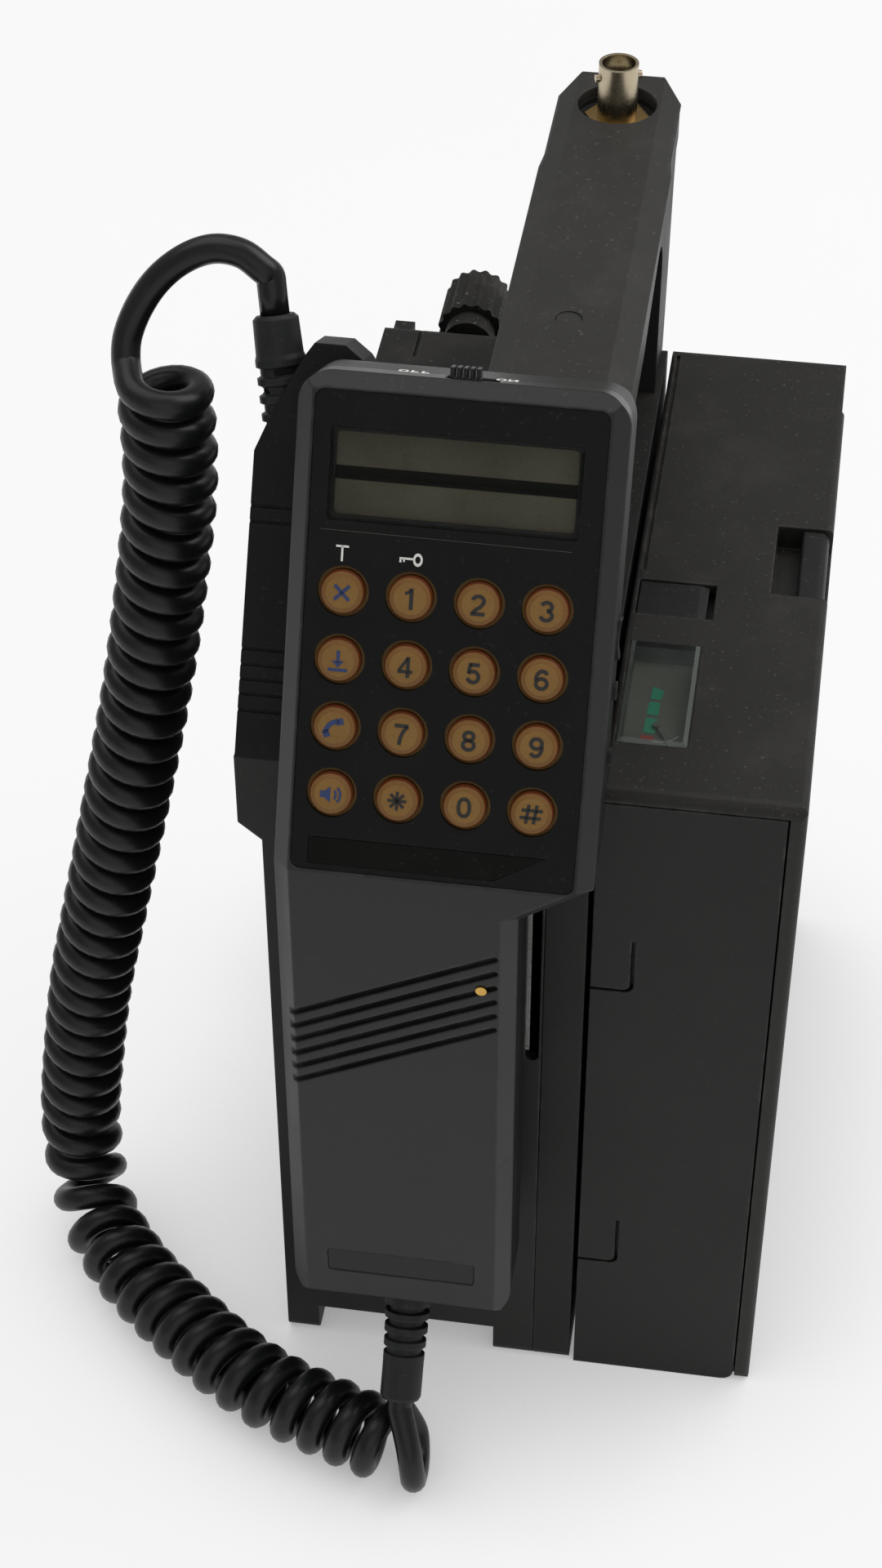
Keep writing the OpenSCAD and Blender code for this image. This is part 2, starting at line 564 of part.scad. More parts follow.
module cord_coil() color("#1c1c1d") {
    echo("curls", curls, "least gap of the curled cord to itself, mm", coil_gap);
    t = dirs(coil_wire);
    skin([for (i = [0:len(coil_wire) - 1]) let (q = lookup(turn_in + min(max(i - 1, 0), n_ring) / 8
        * (turn_out - turn_in) / curls, by_turn), n = i < 4 || i > n_ring - 2 ? coil_ref
        : coil_wire[i] - line_at(q)) ring(coil_wire[i], t[i], n, cord_d / 2, 6)]);
}
module cord_lead() color("#1c1c1d") {
    a = concat([lead_from + cord_d * lead_dir], lead_path, [c_line[0] - cord_d * c_dir[0]]);
    tube(concat([lead_from], spline(a, 4), [c_line[0]]), cord_d / 2, 8, [0, 1, 0]);
}
module cord_tail() color("#1c1c1d") {
    e = c_len - 1;
    a = concat([c_line[e] + cord_d * c_dir[e]], tail_path, [end_from + cord_d * end_dir]);
    tube(concat([c_line[e]], spline(a, 4), [end_from]), cord_d / 2, 8, [1, 0, 0]);
}

// ---------- battery pack ----------
module battery_case() color("#303031") difference() {
    intersection() {
        along_x(pack_x0, pack_x1) polygon(rect(y0, 0, y1, body_h, edge_r));
        along_y(y0 - 1, y1 + 1) polygon(rect(pack_x0, 0, pack_x1, body_h, 1.6));
        along_z(-1, body_h + 1) polygon(rect(pack_x0, y0, pack_x1, y1, 1.6));
    }
    // inside, open to the front
    difference() {
        block(pack_x0 + wall, pack_x1 - side_wall, y0 - 1, y1 - wall, wall, body_h - wall);
        // floor and walls of the catch pocket, and a frame under the gauge
        block(pocket_x0 - wall, pack_x1, catch_y0 - wall, catch_y1 + wall, body_h - pocket_d - wall, body_h);
    }
    // seat of the front cover
    block(pack_x0 - 1, cover_x1 + 0.4, y0 - 1, y0 + cover_t, -1, cover_top + 0.3);
    // gauge, latch and catch openings
    block(gauge_x0, gauge_x0 + gauge_w, gauge_y0, gauge_y0 + gauge_l, dial_z, body_h + 1);
    block(latch_x0 - 0.3, latch_x1 + 1.6, latch_y0 - 0.3, latch_y1 + 0.3,
        body_h - latch_t - latch_travel - 0.5, body_h + 1);
    block(pocket_x0, pack_x1 + 1, catch_y0 - 0.4, catch_y1 + 0.4, body_h - pocket_d, body_h + 1);
    // groove along the left edge of the top
    block(pack_x0 + 1.4, pack_x0 + 1.4 + groove_w, latch_y1 + 4, y1 - 4, body_h - 0.8, body_h + 1);
    // shallow step of the right side
    block(pack_x1 - 0.6, pack_x1 + 1, y1 - 22, y1 + 1, body_h - 30, body_h + 1);
}

function tongue_cut(z) = concat([[-2, z], [tongue_w - 2, z]], arc(tongue_w - 2, z + 2, 2, -90, 0),
    [[tongue_w, z + tongue_l - 4], [tongue_w - groove_w, z + tongue_l - 4],
     [tongue_w - groove_w, z + 2.4]], arc(tongue_w - groove_w - 1.6, z + groove_w + 1.6, 1.6, 0, -90),
    [[-2, z + groove_w]]);

module battery_cover() color("#343435") {
    difference() {
        along_y(y0, y0 + cover_t) polygon(concat([[pack_x0, 0.3]],
            arc(cover_x1 - 3, 3.3, 3, -90, 0), [[cover_x1, cover_top], [pack_x0, cover_top]]));
        for (z = [40.3, 134.3]) translate([pack_x0, 0, 0]) along_y(y0 - 1, y0 + cover_t - 0.6)
            polygon(tongue_cut(z));
        // lightening of the back of the tongues
        for (z = [40.3, 134.3]) block(pack_x0 + 2, pack_x0 + tongue_w - 2, y0 + 1.6, y0 + cover_t + 1,
            z + 3, z + tongue_l - 2);
    }
    // locating ribs behind the cover
    for (x = [pack_x0 + wall + 0.4, cover_x1 - 2]) block(x, x + 1.2, y0 + cover_t - 0.1, y0 + cover_t + 1.4,
        wall + 3, cover_top - 6);
}

module battery_cells() color("#3f7f8f") for (k = [0, 1]) for (i = [0:4])
    translate([(pack_x0 + wall + pack_x1 - side_wall) / 2, y0 + 8 + k * (cell_l + 3), cell_z0 + cell_d / 2 + i * cell_pz])
        rotate([-90, 0, 0]) { cylinder(d = cell_d, h = cell_l, $fn = 48); cylinder(d = 8, h = cell_l + 2, $fn = 32); }

module gauge_window() color("#9aa0a0", 0.35) difference() {
    union() {
        block(gauge_x0, gauge_x0 + gauge_w, gauge_y0, gauge_y0 + gauge_l, dial_z + dial_t, body_h + 0.1);
        translate([gauge_x0 + gauge_w / 2, gauge_y0 + gauge_l / 2, body_h])
            linear_extrude(0.8, scale = [0.86, 0.94]) square([gauge_w - 0.2, gauge_l - 0.2], center = true);
    }
    block(gauge_x0 + 1.2, gauge_x0 + gauge_w - 1.2, gauge_y0 + 1.2, gauge_y0 + gauge_l - 1.2,
        dial_z + dial_t - 1, body_h - 0.6);
}

module gauge_dial() color("#77786f") {
    block(gauge_x0, gauge_x0 + gauge_w, gauge_y0, gauge_y0 + gauge_l, dial_z, dial_z + dial_t);
    // moving-coil housing, pivot and pointer
    translate([gauge_x0 + 8, gauge_y0 + 12, 0]) {
        translate([0, 0, dial_z - 9]) cylinder(r = 5.5, h = 10, $fn = 32);
        translate([0, 0, dial_z + dial_t - 0.5]) cylinder(r = 0.8, h = 1.4, $fn = 24);
        translate([0, 0, dial_z + dial_t + 0.3]) rotate([0, 0, -62]) translate([0, -0.2, 0]) cube([9, 0.4, 0.4]);
    }
}

module push_latch() color("#2d2d2e") {
    along_y(latch_y0, latch_y1) polygon([[latch_x0, body_h - latch_t], [latch_x1, body_h - latch_t],
        [latch_x1, body_h - 0.8], [latch_x1 - 2, body_h - 0.3], [latch_x0, body_h - 0.3]]);
    // guide stem and flange below the top wall
    block(latch_x0 + 4, latch_x1 - 4, latch_y0 + 3, latch_y1 - 3, body_h - latch_t - 6, body_h - latch_t + 1);
    block(latch_x0 + 2, latch_x1 + 3, latch_y0 - 1.5, latch_y1 + 1.5, body_h - latch_t - 0.2, body_h - latch_t + 1.2);
}

module side_catch() color("#2b2b2c") {
    along_y(catch_y0, catch_y1) polygon(concat([[catch_x0, body_h - catch_t], [catch_x1, body_h - catch_t]],
        arc(catch_x1 - 2, body_h - 2.6, 2, 0, 90), arc(catch_x0 + 1, body_h - 1.6, 1, 90, 180)));
}

// ---------- handset ----------
// Side view of the handset between two depths below its front face, mitred at the bend
function bent(d) = [face_y + d, bend_z - d * tan(half)];
function far_up(d) = [face_y + 130 * sin(tilt) + d * cos(tilt), bend_z + 130 * cos(tilt) - d * sin(tilt)];
module band(d0, d1) along_x(hs_x0 - 5, up_x1 + 5) polygon([[face_y + d0, 0], [face_y + d1, 0],
    bent(d1), far_up(d1), far_up(d0), bent(d0)]);

// A point of the side view, at depth d below the lower or upper face and s above the bend
function on_low(d, s) = [face_y + d, bend_z + s];
function on_up(d, s) = [face_y + s * sin(tilt) + d * cos(tilt), bend_z + s * cos(tilt) - d * sin(tilt)];
// A long prism along the handset's length, from a section of X and depth
module lengthwise() translate([0, 300, 0]) rotate([90, 0, 0]) linear_extrude(600) children();
// What is cut from a corner of radius 7 that points to (sx, sy)
module corner_cut(x, s, sx, sy) slab(-hs_t - 2, 2) translate([x - sx * 7, s - sy * 7]) difference() {
    polygon([[0, 0], [sx * 9, 0], [sx * 9, sy * 9], [0, sy * 9]]);
    circle(r = 7, $fn = 64);
}
// Outside of a bevelled edge that runs along the lengthwise direction at x = 0
module edge_outside() lengthwise() polygon([[-hs_ch - 1, 1], [60, 1], [60, -hs_t - 3], [-hs_ch - 1, -hs_t - 3],
    [-hs_ch - 1, -hs_t - 1], [0, hs_ch - hs_t], [0, -hs_ch]]);

module hs_solid() difference() {
    along_x(hs_x0, up_x1) polygon([on_low(hs_ch, -hs_low_l), on_low(0, hs_ch - hs_low_l), on_low(0, 0),
        on_up(0, hs_up_l - hs_ch), on_up(hs_ch, hs_up_l), on_up(hs_t - hs_ch, hs_up_l),
        on_up(hs_t, hs_up_l - hs_ch), bent(hs_t), on_low(hs_t, hs_ch - hs_low_l), on_low(hs_t - hs_ch, -hs_low_l)]);
    // bevels of the left edge, in front and behind
    up_face() lengthwise() polygon([[hs_x0 - 1, -hs_ch - 1], [hs_x0 + hs_ch + 1, 1], [hs_x0 - 1, 1]]);
    low_face() lengthwise() polygon([[hs_x0 - 1, -hs_ch - low_more - 1], [hs_x0 + hs_ch + low_more + 1, 1], [hs_x0 - 1, 1]]);
    intersection() {
        up_face() lengthwise() polygon([[hs_x0 - 20, hs_ch - hs_t + 20], [hs_x0 + 80, hs_ch - hs_t - 80],
            [hs_x0 - 20, hs_ch - hs_t - 80]]);
        low_face() lengthwise() polygon([[hs_x0 - 20, hs_ch - hs_t + 20], [hs_x0 + 80, hs_ch - hs_t - 80],
            [hs_x0 - 20, hs_ch - hs_t - 80]]);
    }
    // bevels of the upper part's right edge
    up_face() lengthwise() polygon([[up_x1 + 1, -hs_ch - 1], [up_x1 + 1, 1], [up_x1 - hs_ch - 1, 1]]);
    up_face() lengthwise() polygon([[up_x1 + 1, hs_ch - hs_t + 1], [up_x1 - hs_ch - 1, -hs_t - 1], [up_x1 + 1, -hs_t - 1]]);
    // narrow grip below a slanted shoulder
    low_face() intersection() {
        translate([low_x1, 0, 0]) edge_outside();
        translate([low_x1, -shoulder, 0]) rotate([0, 0, atan2(shoulder - 0.4, up_x1 - low_x1) - 90]) edge_outside();
    }
    // round corners of the two ends
    up_face() {
        corner_cut(hs_x0, hs_up_l, -1, 1);
        corner_cut(up_x1, hs_up_l, 1, 1);
    }
    low_face() {
        corner_cut(hs_x0, -hs_low_l, -1, -1);
        corner_cut(low_x1, -hs_low_l, 1, -1);
    }
}
module hs_hollow() difference() {
    along_x(hs_x0 + hs_wall, up_x1 - hs_wall) polygon([on_low(hs_face, hs_wall - hs_low_l), bent(hs_face),
        on_up(hs_face, hs_up_l - hs_wall), on_up(hs_t - 2.2, hs_up_l - hs_wall), bent(hs_t - 2.2),
        on_low(hs_t - 2.2, hs_wall - hs_low_l)]);
    low_face() slab(-60, 20) polygon([[low_x1 - hs_wall, -300], [low_x1 - hs_wall, 4 - shoulder],
        [up_x1 - hs_wall - 1, 3], [100, 3], [100, -300]]);
    // the walls follow the round corners
    up_face() for (x = [hs_x0 + hs_wall, up_x1 - hs_wall]) translate([x, hs_up_l - hs_wall, 0])
        rotate([0, 0, 45]) slab(-60, 20) square(4, center = true);
    low_face() for (x = [hs_x0 + hs_wall, low_x1 - hs_wall]) translate([x, hs_wall - hs_low_l, 0])
        rotate([0, 0, 45]) slab(-60, 20) square(4, center = true);
}
module side_hole(y, h, w, l) up_face() translate([up_x1 - hs_wall - 2, y - l / 2, -h - w / 2]) cube([hs_wall + 4, l, w]);

module handset_front() color("#3b3c3d") {
    handset_front_shell();
    // posts that carry the board
    up_face() for (p = post_xy) translate([p[0], p[1], -board_d]) cylinder(r = 1.4, h = board_d - hs_face + 0.2, $fn = 24);
}
module handset_front_shell() difference() {
    intersection() { hs_solid(); band(-1, hs_split); }
    hs_hollow();
    // socket of the strain relief
    relief_at_handset() translate([0, 0, -2.6]) cylinder(d = relief_d, h = 8, $fn = 48);
    up_face() {
        // seat of the key panel, and the bays behind it
        slab(-panel_in - panel_t, 1) polygon(rect(panel_x0 - lens_gap, panel_y0 - lens_gap,
            panel_x1 + lens_gap, panel_y1 + lens_gap, 2));
        slab(-4, 0) polygon(rect(key_x0 - flange_r - 0.6, key_bay_y0, key_x0 + 3 * key_px + flange_r + 0.6, key_bay_y1, 2));
        slab(-4, 0) polygon(rect(lens_x0 + 1, lens_y0 + 1, lens_x1 - 1, lens_y1 - 1, 1));
    }
    low_face() {
        // six slanted speaker grooves, cut through in their middle
        for (i = [0:5]) translate([hs_x0 + 1.4, -43.5 - 4.24 * i, 0]) rotate([0, 0, 27.3]) {
            translate([-3, -0.8, -1.3]) cube([54, 1.6, 3]);
            translate([51, 0, -1.3]) cylinder(r = 0.8, h = 3, $fn = 24);
            translate([12, -0.5, -4]) cube([30, 1, 4]);
        }
        translate([pin_x, pin_y, -4]) cylinder(r = pin_r, h = 5, $fn = 24);
        slab(-0.9, 1) polygon(rect(plate[0], plate[1], plate[2], plate[3], 1));
    }
    // slot of the power switch in the top edge
    up_face() translate([switch_x - switch_w / 2 - 0.4, hs_up_l - hs_wall - 1, -8.4])
        cube([switch_w + switch_travel + 0.8, hs_wall + 3, 4.4]);
}

module handset_back() color("#343536") difference() {
    intersection() { hs_solid(); band(hs_split, hs_t + 1); }
    hs_hollow();
    // sound holes of the earpiece and slots of the microphone
    up_face() translate([speaker_x, speaker_y, -hs_t - 1]) {
        cylinder(r = 1.2, h = 4, $fn = 24);
        for (a = [0:60:300]) rotate([0, 0, a]) translate([5, 0, 0]) cylinder(r = 1.2, h = 4, $fn = 24);
        difference() {
            cylinder(r = 15, h = 1.8, $fn = 64);
            translate([0, 0, -1]) cylinder(r = 10, h = 4, $fn = 64);
        }
    }
    low_face() for (i = [-2:2]) translate([(hs_x0 + low_x1) / 2 + 4 * i - 0.7, -hs_low_l + 16, -hs_t - 1]) cube([1.4, 9, 4]);
    // holes of the side buttons
    side_hole(rocker_y, button_depth, 4.6, 9.2);
    for (y = [button_ya, button_yb]) up_face() translate([up_x1 - hs_wall - 2, y, -button_depth])
        rotate([0, 90, 0]) cylinder(r = button_r + 0.2, h = hs_wall + 4, $fn = 32);
    // socket of the strain relief
    relief_at_handset() translate([0, 0, -2.6]) cylinder(d = relief_d, h = 8, $fn = 48);
}

module key_panel() color("#17181a") up_face() slab(-panel_in - panel_t, -panel_in) difference() {
    polygon(rect(panel_x0, panel_y0, panel_x1, panel_y1, 2));
    for (c = [0:3]) for (r = [0:3]) translate([key_x0 + c * key_px, key_y0 + r * key_py]) circle(r = key_hole, $fn = 40);
    polygon(rect(lens_x0, lens_y0, lens_x1, lens_y1, 0.8));
    polygon(strip(0));
}

module display_lens() color("#59594f", 0.6) up_face() slab(-panel_in - panel_t, -panel_in + 0.1)
    polygon(rect(lens_x0 + lens_gap, lens_y0 + lens_gap, lens_x1 - lens_gap, lens_y1 - lens_gap, 0.7));

module status_lens() color("#101112") up_face() slab(-panel_in - panel_t, -panel_in + 0.1)
    polygon(strip(lens_gap));

module lcd_panel() color("#6b6b5c") up_face() difference() {
    block(lens_x0 - 1.5, lens_x1 + 1.5, lens_y0 - 1.5, lens_y1 + 1.5, -board_d, -hs_face);
    block(lens_x0 + 3, lens_x1 - 3, (lens_y0 + lens_y1) / 2 - 0.6, (lens_y0 + lens_y1) / 2 + 0.6, -hs_face - 0.4, -hs_face);
}

module keypad_board() color("#2d6a46") up_face() block(hs_x0 + hs_wall + 0.4, up_x1 - hs_wall - 4.4, 7, hs_up_l - hs_wall - 3,
    -board_d - 1.4, -board_d);

module earpiece() color("#4a4a4c") up_face() translate([speaker_x, speaker_y, -hs_t + 2.2])
    cylinder(r = 13, h = 6, $fn = 48);

module microphone() color("#8f9192") low_face() translate([(hs_x0 + low_x1) / 2, -hs_low_l + 20.5, -hs_t + 2.2])
    cylinder(r = 5, h = 6, $fn = 40);

module grille_pin() color("#b07a35") low_face() translate([pin_x, pin_y, -hs_face - 0.6]) cylinder(r = pin_r, h = hs_face + 0.9, $fn = 24);

module nameplate() color("#151617") low_face() slab(-0.9, -0.15)
    polygon(rect(plate[0] + 0.15, plate[1] + 0.15, plate[2] - 0.15, plate[3] - 0.15, 0.9));

// ---------- keys and switches ----------
// A key: domed cap, flange held behind the panel and a plunger over the board
module key(c, r) color("#a5783a") up_face() translate([key_x0 + c * key_px, key_y0 + (3 - r) * key_py, 0])
    rotate_extrude($fn = 40) {
        b = panel_in + panel_t + 0.15;
        s = key_d / 2;
        polygon([[0, key_up - panel_in], [s - 1.2, key_up - panel_in - 0.05], [s - 0.3, key_up - panel_in - 0.5],
            [s, key_up - panel_in - 1], [s, -b], [flange_r, -b], [flange_r, -b - flange_t], [2.4, -b - flange_t],
            [2.4, -board_d + key_travel + 0.3], [0, -board_d + key_travel + 0.3]]);
    }
module key_clear() key(0, 0);
module key_1() key(1, 0);
module key_2() key(2, 0);
module key_3() key(3, 0);
module key_store() key(0, 1);
module key_4() key(1, 1);
module key_5() key(2, 1);
module key_6() key(3, 1);
module key_call() key(0, 2);
module key_7() key(1, 2);
module key_8() key(2, 2);
module key_9() key(3, 2);
module key_hands() key(0, 3);
module key_star() key(1, 3);
module key_0() key(2, 3);
module key_hash() key(3, 3);

module power_switch() color("#2a2b2c") up_face() translate([switch_x - switch_w / 2, hs_up_l, -6.2]) {
    translate([0.4, -hs_wall - 1.4, -1.8]) cube([switch_w - 0.8, hs_wall + 1.6, 3.6]);
    translate([-0.2, -hs_wall - 2.6, -2.4]) cube([switch_w + 0.4, 2.2, 4.8]);
    for (i = [0:4]) translate([0.4 + i * 1.3, 0, -1.8]) cube([0.8, 2.2, 3.6]);
}

module volume_rocker() color("#2a2b2c") up_face() translate([up_x1 - hs_wall - 1.2, rocker_y, -button_depth])
    rotate([0, 0, -90]) along_z(-2.1, 2.1)
        polygon([[-4.1, 0], [4.1, 0], [4.1, hs_wall + 2], [1.5, hs_wall + 1.5], [-1.5, hs_wall + 1.5],
            [-4.1, hs_wall + 2]]);

module side_button(y) color("#2a2b2c") up_face() translate([up_x1 - hs_wall - 1.4, y, -button_depth]) rotate([0, 90, 0]) {
    cylinder(r = button_r, h = hs_wall + 2.2, $fn = 32);
    cylinder(r = button_r + 0.9, h = 1.2, $fn = 32);
}
module side_button_a() side_button(button_ya);
module side_button_b() side_button(button_yb);

main_shell();
side_shell();
slot_contact();
rf_board();
shield_can();
shell_screws();
cradle();
handle_top();
handle_core();
handle_plug();
bnc_flange();
bnc_barrel();
bnc_insulator();
bnc_contact();
rear_connector();
rear_knob();
cradle_relief();
cord_lead();
cord_coil();
cord_tail();
battery_case();
battery_cover();
battery_cells();
gauge_window();
gauge_dial();
push_latch();
side_catch();
handset_front();
handset_back();
key_panel();
display_lens();
lcd_panel();
status_lens();
keypad_board();
earpiece();
microphone();
grille_pin();
nameplate();
handset_relief();
key_clear();
key_1();
key_2();
key_3();
key_store();
key_4();
key_5();
key_6();
key_call();
key_7();
key_8();
key_9();
key_hands();
key_star();
key_0();
key_hash();
power_switch();
volume_rocker();
side_button_a();
side_button_b();
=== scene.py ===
"""Looks of the transportable cellular telephone: camera, light, cord, materials and fine detail."""
import json
import math

import bmesh
import bpy
from mathutils import Matrix, Vector
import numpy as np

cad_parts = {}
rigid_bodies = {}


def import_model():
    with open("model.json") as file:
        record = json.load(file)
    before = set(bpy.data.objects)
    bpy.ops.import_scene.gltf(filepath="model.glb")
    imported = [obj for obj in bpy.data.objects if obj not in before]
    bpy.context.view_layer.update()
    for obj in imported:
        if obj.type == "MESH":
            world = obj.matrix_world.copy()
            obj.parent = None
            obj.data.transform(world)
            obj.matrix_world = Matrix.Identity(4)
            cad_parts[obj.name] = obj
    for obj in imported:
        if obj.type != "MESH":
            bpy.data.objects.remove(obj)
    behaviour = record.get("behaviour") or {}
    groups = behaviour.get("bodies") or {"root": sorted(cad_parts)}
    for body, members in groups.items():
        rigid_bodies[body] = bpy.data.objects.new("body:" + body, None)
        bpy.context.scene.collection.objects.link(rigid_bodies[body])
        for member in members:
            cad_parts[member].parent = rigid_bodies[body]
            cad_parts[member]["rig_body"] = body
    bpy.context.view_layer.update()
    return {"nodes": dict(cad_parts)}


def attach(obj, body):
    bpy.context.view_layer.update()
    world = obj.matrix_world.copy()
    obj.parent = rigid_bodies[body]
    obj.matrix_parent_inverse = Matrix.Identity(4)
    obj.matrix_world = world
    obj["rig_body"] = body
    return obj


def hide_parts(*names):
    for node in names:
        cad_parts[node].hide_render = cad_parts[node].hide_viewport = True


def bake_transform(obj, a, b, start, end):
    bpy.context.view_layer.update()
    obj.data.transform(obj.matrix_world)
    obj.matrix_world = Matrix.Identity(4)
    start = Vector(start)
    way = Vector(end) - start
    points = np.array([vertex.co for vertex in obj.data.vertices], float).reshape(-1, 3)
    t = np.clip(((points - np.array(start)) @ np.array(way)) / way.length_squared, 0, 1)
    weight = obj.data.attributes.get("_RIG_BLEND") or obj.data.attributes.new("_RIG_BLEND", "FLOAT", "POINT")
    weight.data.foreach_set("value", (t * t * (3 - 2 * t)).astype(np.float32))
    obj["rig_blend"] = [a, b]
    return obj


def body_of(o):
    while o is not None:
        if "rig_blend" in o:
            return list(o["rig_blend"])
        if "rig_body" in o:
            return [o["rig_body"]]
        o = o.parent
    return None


for o in list(bpy.data.objects):
    bpy.data.objects.remove(o)
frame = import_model()
NODES = frame["nodes"]

# measures that the source has too, in metres
TILT = math.radians(26.4)         # how far the handset's upper half leans back
FACE_Y, BEND_Z = -0.1145, 0.1905  # the front of the handset's grip, and the height of its bend
HS_X0 = -0.047                    # the left side of the handset
KEY_FACING = (0, -math.cos(TILT), math.sin(TILT))
MM = 1000                         # millimetres to the metre


# ------------------------------------------------------------------ camera, floor and light
LENS, SENSOR_WIDTH = 69.83, 36
CAMERA_PLACE = (0.05584, -0.5591, 0.62115)
CAMERA_TURN = (48.141, 0.07, 8.548)
WORLD_STRENGTH = 0.36
LAMPS = [
    # name, side, power, place, aim
    ("key_light", 1.2, 13, (0.9, 0.45, 1.4), (0, -0.05, 0.12)),
    ("top_light", 1.4, 8, (-0.5, 0.25, 1.6), (0, 0, 0.12)),
    ("front_light", 1.6, 4, (0.3, -1.6, 0.9), (0, 0, 0.1)),
]

camera = bpy.data.cameras.new("photo_view")
camera.lens, camera.sensor_width = LENS, SENSOR_WIDTH
camera.clip_start, camera.clip_end = 0.02, 20
view = bpy.data.objects.new("photo_view", camera)
bpy.context.collection.objects.link(view)
view.location = CAMERA_PLACE
view.rotation_euler = [math.radians(a) for a in CAMERA_TURN]
bpy.context.scene.camera = view
bpy.context.scene.view_settings.view_transform = "Standard"

for name, side, power, place, aim in LAMPS:
    data = bpy.data.lights.new(name, "AREA")
    data.shape, data.size, data.size_y, data.energy = "RECTANGLE", side, side, power
    o = bpy.data.objects.new(name, data)
    bpy.context.collection.objects.link(o)
    o.location = place
    o.rotation_euler = (Vector(aim) - Vector(place)).to_track_quat("-Z", "Y").to_euler()

world = bpy.data.worlds.new("studio")
bpy.context.scene.world = world
world.use_nodes = True
world.node_tree.nodes["Background"].inputs["Color"].default_value = (1, 1, 1, 1)
world.node_tree.nodes["Background"].inputs["Strength"].default_value = WORLD_STRENGTH


# ------------------------------------------------------------------ materials
class Net:
    """Small helper that adds and links shader nodes."""

    def __init__(self, name):
        self.mat = bpy.data.materials.new(name)
        self.mat.use_nodes = True
        self.tree = self.mat.node_tree
        self.bsdf = self.tree.nodes["Principled BSDF"]
        self.place = self.add("ShaderNodeTexCoord").outputs["Object"]

    def add(self, kind, inputs=None, **settings):
        n = self.tree.nodes.new(kind)
        for k, v in settings.items():
            setattr(n, k, v)
        for k, v in (inputs or {}).items():
            self.feed(n.inputs[k], v)
        return n

    def feed(self, socket, v):
        if isinstance(v, bpy.types.NodeSocket):
            self.tree.links.new(v, socket)
        else:
            socket.default_value = v

    def noise(self, scale, detail=3.0, rough=0.6, stretch=None):
        at = self.place
        if stretch:
            at = self.add("ShaderNodeMapping", {"Vector": at, "Scale": stretch}).outputs[0]
        return self.add("ShaderNodeTexNoise", {"Vector": at, "Scale": scale, "Detail": detail,
                                               "Roughness": rough}).outputs["Fac"]

    def ramp(self, value, low, high, to=(0.0, 1.0)):
        return self.add("ShaderNodeMapRange", {"Value": value, "From Min": low, "From Max": high,
                                               "To Min": to[0], "To Max": to[1]}).outputs[0]

    def math(self, op, a, b=0.0):
        return self.add("ShaderNodeMath", {0: a, 1: b}, operation=op).outputs[0]

    def mix(self, factor, a, b):
        n = self.add("ShaderNodeMix", data_type="RGBA")
        for key, v in (("Factor", factor), ("A", a), ("B", b)):
            self.feed([s for s in n.inputs if s.name == key and s.enabled][0], v)
        return [s for s in n.outputs if s.enabled][0]

    def dot(self, a, b):
        return self.add("ShaderNodeVectorMath", {0: a, 1: b}, operation="DOT_PRODUCT").outputs["Value"]

    def normal(self):
        return self.add("ShaderNodeNewGeometry").outputs["Normal"]

    def rounded(self, radius):
        return self.add("ShaderNodeBevel", {"Radius": radius}, samples=4).outputs[0]

    def toward(self, direction):
        """How far the surface faces a direction, from -1 to 1."""
        return self.dot(self.normal(), direction)

    def edges(self, radius):
        """1 on edges, 0 on flats."""
        return self.ramp(self.dot(self.rounded(radius), self.normal()), 0.995, 0.86)

    def bump(self, height, strength, depth, normal=None):
        inputs = {"Height": height, "Strength": strength, "Distance": depth}
        if normal:
            inputs["Normal"] = normal
        self.link(self.add("ShaderNodeBump", inputs).outputs[0], "Normal")

    def link(self, socket, name):
        self.tree.links.new(socket, self.bsdf.inputs[name])


def rgb(r, g, b):
    """A colour written as it shows, to the shader's linear one."""
    def lin(v):
        v = v / 255
        return v / 12.92 if v <= 0.04045 else ((v + 0.055) / 1.055) ** 2.4
    return (lin(r), lin(g), lin(b), 1)


def shade(c, k):
    return (c[0] * k, c[1] * k, c[2] * k, 1)


GRAIN_DEPTH = 0.00006
WEAR_AND_HIGHLIGHT_WIDTH = 0.0011
DUST = rgb(150, 146, 136)


